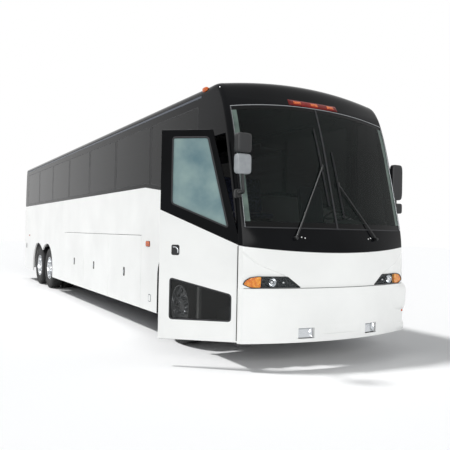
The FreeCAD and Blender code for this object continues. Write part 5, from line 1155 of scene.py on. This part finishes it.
class COACH_OT_sides(bpy.types.Operator):
    """Window rubber, roof rail, belt trim, latches and seams along both sides"""
    bl_idname = "coach.sides"
    bl_label = "Side trim"

    def execute(self, context):
        rubbers, rails, gutters, latches, plates, trims, rings = [], [], [], [], [], [], []
        for side in (-1, 1):
            place = on_side(side)
            for index in range(7):
                low = WINDOW_FIRST + WINDOW_PITCH * index
                high = low + WINDOW_PITCH - WINDOW_POST
                corners = [(low, side_line(low) + 0.06)]
                corners += [(y, side_line(y) + 0.06) for y in (2.61, 3.27) if low < y < high]
                corners += [(high, side_line(high) + 0.06), (high, WINDOW_TOP), (low, WINDOW_TOP)]
                rubbers.append(beading(rounded(corners, 0.04, 5),
                                       context.scene.coach_sizes.window_rubber, 0.0020, place))
            y = np.linspace(1.33, LENGTH - 0.37, 160)
            z = 3.352 + 0 * y
            rails.append(sweep(place(y, z, 0.001 + 0 * y), 0.014, 0.004, 8, power=0.7,
                               hint=(side, 0, 0)))
            gutters.append(sweep(place(y, z + 0.024, 0 * y), 0.007, 0.003, 6, hint=(side, 0, 0)))
            y = np.array([0.36, 1.296, 2.61, 3.27, 5.0, 8.0, LENGTH - 0.37])
            path = np.stack([y, side_line(y)], -1)[0 if side > 0 else 1:]
            trims.append(sweep(place(path[:, 0], path[:, 1], 0 * path[:, 0]), 0.003, 0.0015, 6,
                               hint=(side, 0, 0)))
            for y, z in LATCHES:
                bay = int(np.searchsorted(BAYS, y))
                label = "left" if side > 0 else "right"
                body = f"bay_door_{label}_{bay}" if bay < len(BAYS) else "coach"
                cup = pebble((side * HALF, y, z), (0.0035, 0.040, 0.078), 0.45, 0.35, 32, 14)
                latches.append((body, cup, side, y, z))
            plates.append(pebble((side * HALF, 3.0, 0.54), (0.003, 0.050, 0.052), 0.3, 0.3, 32,
                                 10))
            flap = rounded([(2.955, 0.488), (3.045, 0.488), (3.045, 0.592), (2.955, 0.592)],
                           0.015, 4)
            rings.append(beading(flap, 0.006, 0.004, place))
            plates.append(pebble((side * HALF, 9.05, 1.20), (0.0025, 0.16, 0.14), 0.15, 0.15, 32,
                                 10))
        for number, (body, cup, side, y, z) in enumerate(latches):
            piece(f"latch_cup_{number}", [cup], "abs", body, closed=ROUND)
            lever = smooth_path([(side * (HALF + out), y, z + rise) for out, rise in
                                 ((0.003, -0.034), (0.009, -0.01), (0.008, 0.030))], 10)
            lever = sweep(lever, 0.011, 0.004, 10, power=0.7, hint=(side, 0, 0))
            piece(f"latch_lever_{number}", [lever], "steel", body, closed=BAR)
        piece("window_rubber", rubbers, "gasket", closed=RING, weld=0.0)
        piece("roof_rails", rails, "rail", closed=BAR)
        piece("roof_gutters", gutters, "shadow", closed=BAR)
        piece("belt_seams", trims, "shadow", closed=BAR)
        piece("service_flaps", plates, "white", closed=ROUND)
        piece("fuel_flap_rims", rings, "rail", closed=RING)
        x = np.linspace(-NOSE_SIDE, NOSE_SIDE, 80)
        mask_edge = on_front(x, nose_top(x))
        piece("mask_edge_sealant", [sweep(mask_edge, 0.0015, 0.003, 6, hint=(0, 0, 1))],
              "shadow", closed=BAR)
        pane = rounded([(0.60, 1.764), (PANE_REAR, 1.870), (PANE_REAR, WINDOW_TOP),
                        (PANE_FRONT, WINDOW_TOP)], 0.05, 6)
        piece("driver_window_rubber", [beading(pane, 0.009, 0.003, on_side(1))], "gasket",
              closed=RING)
        z = np.linspace(1.85, 3.22, 12)
        slide = sweep(on_side(1)(1.02 + 0 * z, z, 0 * z), 0.008, 0.003, 8, hint=(1, 0, 0))
        piece("driver_window_slide", [slide], "gasket", closed=BAR)
        arches = []
        for side in (-1, 1):
            turn = np.linspace(0, math.pi / 2, 14)
            front, rear, top, corner = ARCH
            height = top - corner + corner * np.sin(turn)
            back = np.stack([rear - corner + corner * np.cos(turn), height], -1)
            fore = np.stack([front + corner - corner * np.cos(turn), height], -1)[::-1]
            loop = np.concatenate([[(rear, SKIRT)], back, fore, [(front, SKIRT)]])
            loop = on_side(side, -0.018)(loop[:, 0], loop[:, 1], 0 * loop[:, 0])
            arches.append(sweep(loop, 0.004, 0.020, 8, power=0.6, hint=(side, 0, 0)))
        piece("arch_edges", arches, "gasket", closed=BAR)
        hatches = []
        for y in HATCHES:
            lid = rounded([(0.36 * a, y + 0.36 * b) for a, b in SQUARE], 0.06, 6)
            hatches.append(beading(lid, 0.012, 0.0015, on_roof))
            for x in (-0.22, 0.22):
                rib = np.linspace(y - 0.28, y + 0.28, 12)
                hatches.append(sweep(on_roof(x + 0 * rib, rib, 0.0), 0.012, 0.0035, 8))
        piece("roof_hatch_edges", hatches, "gasket", closed=[RING, BAR, BAR] * 2, weld=0.0)
        return {"FINISHED"}


def tyre_surface(centre, sizes):
    """A tyre turned about X: a profile of radius against the width, cut by three grooves round the
    tread, and by slanted sipes and shoulder notches that repeat with the angle."""
    turn = np.linspace(0, 2 * math.pi, 180, endpoint=False)[:, None]
    knots = np.array([(-0.130, 0.293), (-0.140, 0.330), (-0.1485, 0.400), (-0.149, 0.440),
                      (-0.142, 0.490), (-0.132, 0.515), (-0.120, 0.5265), (-0.105, 0.531)])
    tread = np.linspace(-0.098, 0.098, 29)
    crown = np.stack([tread, 0.5335 - 0.0025 * (tread / 0.098) ** 2], -1)
    profile = np.concatenate([knots, crown, (knots * [-1, 1])[::-1]])
    x = profile[None, :, 0] + 0 * turn
    radius = profile[None, :, 1] + 0 * turn
    groove = np.zeros_like(x)
    for middle in (-0.052, 0.0, 0.052):
        groove = np.maximum(groove, np.clip(1.6 - np.abs(x - middle) / sizes.groove_width, 0, 1))
    phase = (turn * 45 / (2 * math.pi) + x * 9) % 1.0
    sipe = np.clip(1.4 - np.abs(phase - 0.5) / 0.14, 0, 1)
    sipe = sipe * (np.abs(x) > 0.058) * (np.abs(x) < 0.118)
    on_tread = np.clip((0.112 - np.abs(x)) / 0.006, 0, 1)
    radius = radius - sizes.groove_depth * groove * on_tread - 0.007 * sipe
    ring = 0.0012 * np.cos((radius - 0.33) * 2 * math.pi / 0.035) * (np.abs(x) > 0.13)
    x = x + np.sign(x) * ring * 0.6
    tube = np.array([(0.118, 0.2925), (-0.118, 0.2925)])[None] + 0 * turn[..., None]
    loop = np.concatenate([np.stack([x, radius], -1), tube], 1)
    return np.stack([loop[..., 0], loop[..., 1] * np.cos(turn), loop[..., 1] * np.sin(turn)],
                    -1) + np.asarray(centre, float)


def holed_ring(inner, outer, circle, hole, count, x, sag, flip):
    """A disc face between two radii with round holes on a circle: each sector is a patch whose
    lines run from the hole's edge to the sector's own edge. Sag moves it along x by radius."""
    turn = np.linspace(0, 2 * math.pi, 33)[None, :, None]
    part = np.linspace(0, 1, 5)[None, None, :]
    sector = (np.arange(count) * 2 * math.pi / count)[:, None, None]
    u, v = np.cos(turn), np.sin(turn)
    step = math.pi / count
    stretch = 1 / np.maximum(np.abs(u), np.abs(v))
    r_edge = circle + np.where(u > 0, outer - circle, circle - inner) * u * stretch
    a_edge = step * v * stretch
    r_hole, a_hole = circle + hole * u, hole * v / circle
    radius = r_hole + (r_edge - r_hole) * part + 0 * sector
    angle = sector + a_hole + (a_edge - a_hole) * part
    return list(np.stack([flip * (x + sag(radius)), radius * np.cos(angle),
                          radius * np.sin(angle)], -1))


class COACH_OT_wheels(bpy.types.Operator):
    """Tyres with tread, forged rims with hand holes, nuts and hub caps"""
    bl_idname = "coach.wheels"
    bl_label = "Wheels"

    def execute(self, context):
        for name, y in AXLES.items():
            twin = name == "drive"
            for label, side in (("left", 1), ("right", -1)):
                body = f"{name}_wheel_{label}"
                centre = np.array([side * WHEEL_X, y, TYRE_R])
                sizes = context.scene.coach_sizes
                tyres = [tyre_surface(centre, sizes)]
                if twin:
                    tyres.append(tyre_surface(centre - [side * TWIN, 0, 0], sizes))
                piece(f"{name}_tread_{label}", tyres, "tyre", body, "tyre_rubber",
                      stands_for=(f"{name}_tyre_{label}",), closed=RING, weld=0.0, sharp=28)
                dish = -0.118 if twin else 0.062
                cap = 0.132 if twin else 0.108
                back = -0.128 - (TWIN if twin else 0)

                def turned(profile, count, spot=centre, phase=0.0):
                    return revolve(np.array(profile) * [side, 1], "x", spot, count, phase)

                barrel = [(0.129, 0.272), (0.132, 0.284), (0.130, 0.2915), (0.118, 0.2915),
                          (0.10, 0.283), (0.04, 0.276), (back + 0.03, 0.283), (back, 0.2915),
                          (back, 0.272), (back + 0.02, 0.268), (dish - 0.012, 0.262),
                          (dish - 0.006, 0.2600)]
                front = [(0.129, 0.272), (0.112, 0.268), (dish + 0.022, 0.263),
                         (dish + 0.006, 0.2605), (dish - 0.006, 0.2600)]

                def sag(radius):
                    return -0.012 * np.clip((radius - 0.150) / 0.11, 0, 1) ** 2

                disc = []
                for grid in holed_ring(0.150, 0.2605, HOLE_CIRCLE, HOLE_R, HOLES, dish + 0.006,
                                       sag, side):
                    disc.append(grid + centre)
                edge = np.linspace(0, 2 * math.pi, 20, endpoint=False)[:, None]
                walls = []
                for angle in np.arange(HOLES) * 2 * math.pi / HOLES:
                    depth = np.array([0.0, -0.03])[None, :] + 0 * edge
                    r = HOLE_CIRCLE + HOLE_R * np.cos(edge) + 0 * depth
                    t = angle + HOLE_R * np.sin(edge) / HOLE_CIRCLE + 0 * depth
                    x = side * (dish + 0.006 + sag(r) + depth)
                    walls.append(np.stack([x, r * np.cos(t), r * np.sin(t)], -1) + centre)
                hub = [(dish + 0.006, 0.150), (dish + 0.008, 0.145), (dish + 0.008, 0.098),
                       (dish + 0.02, 0.092), (cap - 0.03, 0.088), (cap - 0.012, 0.082),
                       (cap - 0.004, 0.066), (cap, 0.045), (cap + 0.002, 0.0)]
                disc += [turned(front, 72), turned(hub, 72)]
                piece(f"{name}_wheel_disc_{label}", disc, "alloy", body,
                      "wheel_alloy", stands_for=(f"{name}_rim_{label}",), facing=(side, 0, 0),
                      weld=0.0004, sharp=30, closed=[OPEN] * HOLES + [ROUND] * 2)
                piece(f"{name}_wheel_barrel_{label}", [turned(barrel, 72)], "alloy", body,
                      closed=ROUND, weld=0.0)
                # The hole walls take the dark sealant finish: painted shade inside the hand holes.
                piece(f"{name}_hand_holes_{label}", walls, "shadow", body, closed=ROUND)
                drum = [(dish - 0.028, 0.0), (dish - 0.028, 0.235), (dish - 0.06, 0.245),
                        (back + 0.02, 0.245)]
                piece(f"{name}_drum_{label}", [turned(drum, 48)], "drum", body, closed=ROUND)
                nuts = []
                for a in (np.arange(HOLES) + 0.5) * 2 * math.pi / HOLES:
                    spot = centre + [0, NUT_CIRCLE * math.cos(a), NUT_CIRCLE * math.sin(a)]
                    nut = [(dish + 0.006, 0.0205), (dish + 0.010, 0.0205), (dish + 0.010, 0.0165),
                           (dish + 0.030, 0.0165), (dish + 0.034, 0.012), (dish + 0.046, 0.0105),
                           (dish + 0.047, 0.0)]
                    nuts.append(turned(nut, 6, spot, a))
                piece(f"{name}_nuts_{label}", nuts, "steel", body, closed=ROUND,
                      weld=0.0, sharp=25)
        return {"FINISHED"}


def cushion(centre, half, channels, along, crown, n=40, m=24, square=0.28):
    """A stuffed form: a squared ball, whose height swells towards its middle and is drawn in by
    sewn channels across the width, and whose sides pull in between the corners. Along gives the
    directions of its second and third size."""
    block = pebble((0, 0, 0), (1, 1, 1), square, 0.42, n, m)
    u, v, w = block[..., 0], block[..., 1], block[..., 2]
    swell = 1 + crown * (1 - u**2) * (1 - v**2) * np.clip(w, 0, 1)
    stitch = np.abs(np.sin(u * math.pi * channels / 2)) ** 0.35
    drawn = (1 - stitch) * np.clip(w * 2, 0, 1) * np.clip(1.5 - 1.5 * np.abs(v), 0, 1)
    w = w * swell - 0.10 * drawn
    pull = 1 - 0.035 * (1 - v**2)
    points = np.stack([u * pull * half[0], v * (1 - 0.03 * (1 - u**2)) * half[1], w * half[2]], -1)
    across, ahead, up = np.array([(1, 0, 0), *along], float)
    return (np.asarray(centre, float) + points[..., :1] * across + points[..., 1:2] * ahead
            + points[..., 2:] * up)


class COACH_OT_seats(bpy.types.Operator):
    """Upholstered passenger seats and the driver's seat"""
    bl_idname = "coach.seats"
    bl_label = "Seats"

    def execute(self, context):
        lean = math.atan2(0.13, 0.68)
        back_up = np.array([0, math.sin(lean), math.cos(lean)])
        back_out = np.array([0, -math.cos(lean), math.sin(lean)])
        pads, backs, shells, legs, arms = [], [], [], [], []

        def seat(x, y, floor, width):
            half = width / 2 - 0.01
            pads.append(cushion((x, y + 0.215, floor + 0.392), (half, 0.212, 0.052), 3,
                                ((0, 1, 0), (0, 0, 1)), 0.35))
            foot = np.array([x, y + 0.425, floor + 0.43])
            middle = foot + back_up * 0.345
            backs.append(cushion(middle, (half, 0.335, 0.048), 3, (back_up, back_out), 0.30))
            rear = middle - back_out * 0.034
            shells.append(cushion(rear, (half * 0.97, 0.325, 0.020), 0, (back_up, -back_out), 0.1,
                                  28, 14))

        for row in ROWS:
            for side in (-1, 1):
                for place in (0.2325, 0.6975):
                    seat(side * (0.23 + place), row, FLOOR, 0.455)
                inner = side * 0.275
                for foot, top in ((0.12, 0.16), (0.34, 0.30)):
                    legs.append(sweep([(inner, row + foot, FLOOR + 0.002),
                                       (inner, row + top, FLOOR + 0.34)],
                                      0.025, 0.018, 8, power=0.6, hint=(1, 0, 0)))
                beam = [(side * x, row + 0.23, FLOOR + 0.335) for x in (0.26, 1.14)]
                legs.append(sweep(beam, 0.10, 0.012, 8, power=0.5))
                rest = smooth_path([(side * 0.245, row + 0.44, FLOOR + 0.64),
                                    (side * 0.245, row + 0.30, FLOOR + 0.645),
                                    (side * 0.245, row + 0.12, FLOOR + 0.63)], 10)
                arms.append(sweep(rest, 0.014, 0.022, 10, power=0.7, hint=(0, 0, 1)))
        piece("seat_cushions", pads, "cloth", slot="seat_cloth", stands_for=("seats",),
                        closed=ROUND, weld=0.0, sharp=60)
        piece("seat_backs", backs, "cloth", slot="seat_cloth", closed=ROUND, weld=0.0,
                        sharp=60)
        piece("seat_shells", shells, "dash", closed=ROUND, weld=0.0, sharp=60)
        piece("seat_frames", legs, "chassis", closed=BAR, weld=0.0)
        piece("seat_armrests", arms, "abs", closed=BAR, weld=0.0)
        pads, backs, shells = [], [], []
        seat(0.64, 0.98, COCKPIT, 0.46)
        piece("driver_cushion", pads, "dark_cloth", closed=ROUND, weld=0.0,
                        sharp=60)
        piece("driver_back", backs, "dark_cloth", closed=ROUND, weld=0.0,
                        sharp=60)
        piece("driver_seat_shell", shells, "abs", closed=ROUND, weld=0.0)
        base = revolve([(0.001, 0.0), (0.001, 0.17), (0.03, 0.165), (0.05, 0.11), (0.30, 0.09),
                        (0.325, 0.16), (0.335, 0.16), (0.335, 0.0)],
                       "z", (0.64, 1.20, COCKPIT), 40)
        piece("driver_seat_base", [base], "abs", closed=ROUND)
        return {"FINISHED"}


class COACH_OT_cockpit(bpy.types.Operator):
    """Curved dash, instrument hood and steering wheel"""
    bl_idname = "coach.cockpit"
    bl_label = "Dash and steering wheel"

    def execute(self, context):
        outline = rounded([(0.50, 0.004), (0.60, 0.004), (0.66, 0.26), (0.77, 0.40),
                           (0.745, 0.500), (0.60, 0.515), (0.44, 0.470), (0.46, 0.20)],
                          (0.02, 0.02, 0.05, 0.03, 0.03, 0.03, 0.02, 0.05), 5)
        across = np.linspace(-0.300, 1.235, 60)
        bow = 0.075 * (across / HALF) ** 2
        cap = np.clip(np.minimum(across - across[0], across[-1] - across) / 0.03, 0, 1)[:, None]
        middle = outline.mean(0)
        shrink = np.sqrt(1 - (1 - cap) ** 2) * 0.06 + 0.94
        loop = middle + (outline[None] - middle) * shrink[..., None]
        hood = 0.075 * np.exp(-((across - 0.64) / 0.24) ** 4)
        z = COCKPIT + loop[..., 1] + hood[:, None] * np.clip((loop[..., 1] - 0.42) / 0.08, 0, 1)
        body = np.stack([across[:, None] + 0 * z, loop[..., 0] + bow[:, None] * 0.6 - 0.02, z], -1)
        part = np.linspace(1, 0, 4)[:, None, None]
        ends = [end[None] * part + end.mean(0) * (1 - part) for end in (body[0], body[-1])]
        piece("dash_moulding", [body] + ends, "dash", slot="dash_plastic",
              stands_for=("dashboard",), closed=BAR)
        slope = math.radians(58)
        axis = np.array([0, math.cos(slope), math.sin(slope)])
        centre = np.array([0.64, 0.86, COCKPIT + 0.64])
        side = np.array([1.0, 0, 0])
        up = np.cross(axis, side)
        turn = np.linspace(0, 2 * math.pi, 72, endpoint=False)[:, None]
        ring = np.linspace(0, 2 * math.pi, 14, endpoint=False)[None, :]
        grip = 0.0125 + 0.0012 * np.cos(turn * 36)
        out = 0.212 + grip * np.cos(ring)
        wheel = np.stack([out * np.cos(turn), out * np.sin(turn), grip * np.sin(ring)], -1)
        wheel = centre + wheel @ np.stack([side, up, axis])
        piece("steering_rim", [wheel], "abs", "steering_wheel", "dash_plastic",
              stands_for=("steering_wheel",), closed=RING)
        spokes = []
        for a in (math.radians(20), math.radians(160), math.radians(270)):
            ray = math.cos(a) * side + math.sin(a) * up
            path = smooth_path([centre + ray * out - axis * depth for out, depth in
                                ((0.03, 0.022), (0.12, 0.014), (0.206, 0))], 12)
            spokes.append(sweep(path, 0.022, 0.006, 10, power=0.6, hint=axis, taper=(1.3, 1, 0.8)))
        piece("steering_spokes", spokes, "abs", "steering_wheel", closed=BAR, weld=0.0)
        a, b = centre - axis * 0.045, centre + axis * 0.008
        hub = [a, a * 0.7 + b * 0.3, a * 0.3 + b * 0.7, b]
        hub = sweep(hub, 0.052, 0.052, 28, hint=(1, 0, 0), taper=(0.75, 1, 1, 0.7))
        piece("steering_hub", [hub], "dash", "steering_wheel", closed=BAR)
        column = [centre - axis * 0.055, centre - axis * 0.25, centre - axis * 0.50]
        piece("steering_column", [sweep(column, 0.045, 0.042, 24, hint=(1, 0, 0),
                                        taper=(0.8, 1.0, 1.2, 1.3))], "abs", closed=BAR)
        dials, rings = [], []
        for x in (0.50, 0.64, 0.78):
            spot = np.array([x, 0.735, COCKPIT + 0.545])
            rings.append(revolve([(-0.002, 0.050), (0.006, 0.052), (0.010, 0.048),
                                  (0.002, 0.046)], "y", spot, 32))
            dials.append(revolve([(0.002, 0.0), (0.002, 0.047)], "y", spot, 32))
        piece("dial_rings", rings, "chrome", closed=RING)
        piece("dial_faces", dials, "abs", closed=ROUND, facing=(0, 1, 0))
        return {"FINISHED"}


class COACH_OT_rear(bpy.types.Operator):
    """Rear window rubber, louvre blades, latches and the plate's place"""
    bl_idname = "coach.rear"
    bl_label = "Rear trim"

    def execute(self, context):
        place = on_rear()
        window = rounded([(-0.96, 2.42), (0.96, 2.42), (0.96, 3.16), (-0.96, 3.16)], 0.05, 6)
        piece("rear_window_rubber", [beading(window, 0.011, 0.004, place)], "gasket", closed=RING)
        blades = []
        x = np.linspace(-0.552, 0.552, 24)
        for index in range(5):
            low = 0.76 + 0.07 * index
            path = place(x, low + 0.026 + 0 * x, -0.020 + 0 * x)
            blades.append(sweep(path, 0.014, 0.004, 8, power=0.6, hint=(0, 0.7, 0.7)))
        piece("louvre_blades", blades, "abs", "engine_door", closed=BAR)
        piece("louvre_screen", [place(*sheet(-0.565, 0.565, 60, 0.75, 1.08, 20), -0.036)], "mesh",
              "engine_door", facing=(0, 1, 0))
        edge = rounded([(-0.774, 0.646), (0.774, 0.646), (0.774, 1.774), (-0.774, 1.774)],
                       0.012, 4)
        piece("engine_door_edge", [beading(edge, 0.003, 0.0012, place)], "shadow",
              "engine_door", closed=RING)
        cups, levers = [], []
        for x0 in (-0.55, 0.55):
            cups.append(pebble(place(x0, 0.70, 0.0), (0.055, 0.004, 0.028), 0.35, 0.35, 32, 12))
            path = smooth_path([place(x0 - 0.035, 0.70, 0.004), place(x0, 0.70, 0.010),
                                place(x0 + 0.035, 0.70, 0.006)], 10)
            levers.append(sweep(path, 0.010, 0.004, 10, hint=(0, 1, 0)))
        piece("engine_door_latches", cups, "abs", "engine_door", closed=ROUND)
        piece("engine_door_levers", levers, "steel", "engine_door", closed=BAR)
        plate = rounded([(-0.20, 1.24), (0.20, 1.24), (0.20, 1.40), (-0.20, 1.40)], 0.02)
        piece("rear_plate_frame", [beading(plate, 0.006, 0.0015, place)], "abs", "engine_door",
              closed=RING)
        lamps = [pebble(place(x, 1.425, -0.003), (0.030, 0.005, 0.010), 0.5,
                        0.5, 20, 10) for x in (-0.08, 0.08)]
        piece("plate_lamps", lamps, "abs", "engine_door", closed=ROUND)
        return {"FINISHED"}


class COACH_OT_finishes(bpy.types.Operator):
    """Real finishes on the solids that stay as they are"""
    bl_idname = "coach.finishes"
    bl_label = "Finishes"

    def execute(self, context):
        # The door's glass takes the finish painted with the sky's reflection.
        wear = {"bumpers": "white", "rear_panel": "white", "engine_door": "white",
                "side_panels_upper": "white", "side_panels_lower": "white", "door_panel": "white",
                "rear_mask": "black", "window_bands": "black", "roof_panel": "black",
                "door_frame": "black", "door_glass": "door_glass", "window_glass": "smoked",
                "front_axle": "iron", "rear_axles": "iron", "knuckle_left": "iron",
                "knuckle_right": "iron", "engine_block": "iron", "frame_rails": "chassis",
                "door_hinge": "chassis", "bulkheads": "chassis", "floor_panels": "floor",
                "cockpit_floor": "floor", "parcel_racks": "lining"}
        for name, item in frame["nodes"].items():
            key = "white" if name.startswith("bay_door") else wear.get(name)
            if key is None:
                continue
            item.data.materials.clear()
            item.data.materials.append(FINISH[key])
        return {"FINISHED"}


class COACH_OT_stage(bpy.types.Operator):
    """Pale floor, soft light and the photograph's camera"""
    bl_idname = "coach.stage"
    bl_label = "Stage"

    def execute(self, context):
        floor_mesh = bpy.data.meshes.new("floor")
        corners = [(x * FLOOR_REACH, y * FLOOR_REACH, 0) for x, y in SQUARE]
        floor_mesh.from_pydata(corners, [], [(0, 1, 2, 3)])
        floor = bpy.data.objects.new("floor", floor_mesh)
        context.collection.objects.link(floor)
        paint, *_ = finish("pale_studio_floor", "FAFAFA", 0.9, Specular_IOR_Level=0.0)
        floor_mesh.materials.append(paint)
        world_item = bpy.data.worlds.new("studio")
        context.scene.world = world_item
        world_item.use_nodes = True
        tree = world_item.node_tree
        back = tree.nodes["Background"]
        back.inputs["Color"].default_value = linear("F6F9FC")
        back.inputs["Strength"].default_value = SKY
        backdrop = add(tree, "ShaderNodeBackground", {"Color": (1, 1, 1, 1), "Strength": 1.0})
        path = add(tree, "ShaderNodeLightPath")
        seen = path.outputs["Is Camera Ray"]
        for ray in ("Is Transmission Ray", "Is Glossy Ray"):
            either = add(tree, "ShaderNodeMath", {"operation": "MAXIMUM"})
            tree.links.new(seen, either.inputs[0])
            tree.links.new(path.outputs[ray], either.inputs[1])
            seen = either.outputs[0]
        blend = add(tree, "ShaderNodeMixShader", Fac=seen)
        tree.links.new(back.outputs[0], blend.inputs[1])
        tree.links.new(backdrop.outputs[0], blend.inputs[2])
        tree.links.new(blend.outputs[0], tree.nodes["World Output"].inputs["Surface"])
        for name, spot, spread, power in LAMPS:
            lamp = bpy.data.lights.new(name, "SUN")
            lamp.angle = math.radians(spread)
            lamp.energy = power
            holder = bpy.data.objects.new(name, lamp)
            context.collection.objects.link(holder)
            holder.location = spot
            holder.rotation_euler = (-Vector(spot)).to_track_quat("-Z", "Y").to_euler()
        yaw, pitch, roll = math.radians(YAW), math.radians(PITCH), math.radians(ROLL)
        ahead = Vector((-math.sin(yaw) * math.cos(pitch), math.cos(yaw) * math.cos(pitch),
                        math.sin(pitch)))
        right = Vector((math.cos(yaw), math.sin(yaw), 0))
        up = right.cross(ahead)
        across = math.cos(roll) * right + math.sin(roll) * up
        above = -math.sin(roll) * right + math.cos(roll) * up
        lens = bpy.data.cameras.new("camera")
        lens.sensor_width = SENSOR
        lens.lens = FOCAL / PICTURE * SENSOR
        lens.clip_end = 200
        camera = bpy.data.objects.new("camera", lens)
        context.collection.objects.link(camera)
        matrix = Matrix((across, above, -ahead)).transposed().to_4x4()
        matrix.translation = world(CAMERA_AT)
        camera.matrix_world = matrix
        context.scene.camera = camera
        context.scene.view_settings.view_transform = "Standard"
        return {"FINISHED"}


class COACH_PG_sizes(bpy.types.PropertyGroup):
    """Sizes of trim that a fleet may want changed"""
    groove_depth: bpy.props.FloatProperty(
        name="Tread depth", description="Depth of the grooves round the tread",
        default=0.011, min=0.002, max=0.016, unit="LENGTH")
    groove_width: bpy.props.FloatProperty(
        name="Groove width", description="Half the width of a tread groove",
        default=0.0042, min=0.002, max=0.008, unit="LENGTH")
    window_rubber: bpy.props.FloatProperty(
        name="Window rubber", description="Half the width of the rubber round a side window",
        default=0.0045, min=0.002, max=0.015, unit="LENGTH")
    skin_thickness: bpy.props.FloatProperty(
        name="Skin thickness", description="Thickness of the moulded front end",
        default=0.03, min=0.01, max=0.04, unit="LENGTH")


class COACH_PG_colours(bpy.types.PropertyGroup):
    """Livery colours"""
    body: bpy.props.FloatVectorProperty(
        name="Body", description="Enamel below the belt line", subtype="COLOR", size=4,
        min=0.0, max=1.0, default=linear("F2F3F1"))
    band: bpy.props.FloatVectorProperty(
        name="Band", description="Enamel of the window band, the mask and the roof",
        subtype="COLOR", size=4, min=0.0, max=1.0, default=linear("0B0C0E"))
    seats: bpy.props.FloatVectorProperty(
        name="Seats", description="Moquette of the passenger seats", subtype="COLOR", size=4,
        min=0.0, max=1.0, default=linear("3A4058"))


class COACH_OT_palette(bpy.types.Operator):
    """Mix every finish"""
    bl_idname = "coach.palette"
    bl_label = "Finishes in the pot"

    def execute(self, context):
        FINISH.update(make_materials(context.scene.coach_colours))
        return {"FINISHED"}


class COACH_PT_dressing(bpy.types.Panel):
    """Sizes, colours and pieces of the coach"""
    bl_idname = "COACH_PT_dressing"
    bl_label = "Touring coach"
    bl_space_type = "VIEW_3D"
    bl_region_type = "UI"
    bl_category = "Coach"

    def draw(self, context):
        for group in (context.scene.coach_sizes, context.scene.coach_colours):
            box = self.layout.box()
            for key in type(group).__annotations__:
                box.prop(group, key)
        for item in OPERATORS:
            self.layout.operator(item.bl_idname)


GROUPS = {"coach_sizes": COACH_PG_sizes, "coach_colours": COACH_PG_colours}
OPERATORS = [COACH_OT_palette, COACH_OT_front, COACH_OT_screen, COACH_OT_bumpers, COACH_OT_lamps,
             COACH_OT_mirrors, COACH_OT_door, COACH_OT_sides, COACH_OT_wheels, COACH_OT_seats,
             COACH_OT_cockpit, COACH_OT_rear, COACH_OT_finishes, COACH_OT_stage]


def register():
    for item in (*GROUPS.values(), *OPERATORS, COACH_PT_dressing):
        bpy.utils.register_class(item)
    for name, group in GROUPS.items():
        setattr(bpy.types.Scene, name, bpy.props.PointerProperty(type=group))


def unregister():
    for name in GROUPS:
        delattr(bpy.types.Scene, name)
    for item in reversed((*GROUPS.values(), *OPERATORS, COACH_PT_dressing)):
        bpy.utils.unregister_class(item)


def main():
    register()
    bpy.ops.coach.palette()
    bpy.ops.coach.front()
    bpy.ops.coach.screen()
    bpy.ops.coach.bumpers()
    bpy.ops.coach.lamps()
    bpy.ops.coach.mirrors()
    bpy.ops.coach.entrance_door()
    bpy.ops.coach.sides()
    bpy.ops.coach.wheels()
    bpy.ops.coach.seats()
    bpy.ops.coach.cockpit()
    bpy.ops.coach.rear()
    bpy.ops.coach.finishes()
    bpy.ops.coach.stage()


if __name__ == "__main__":
    main()
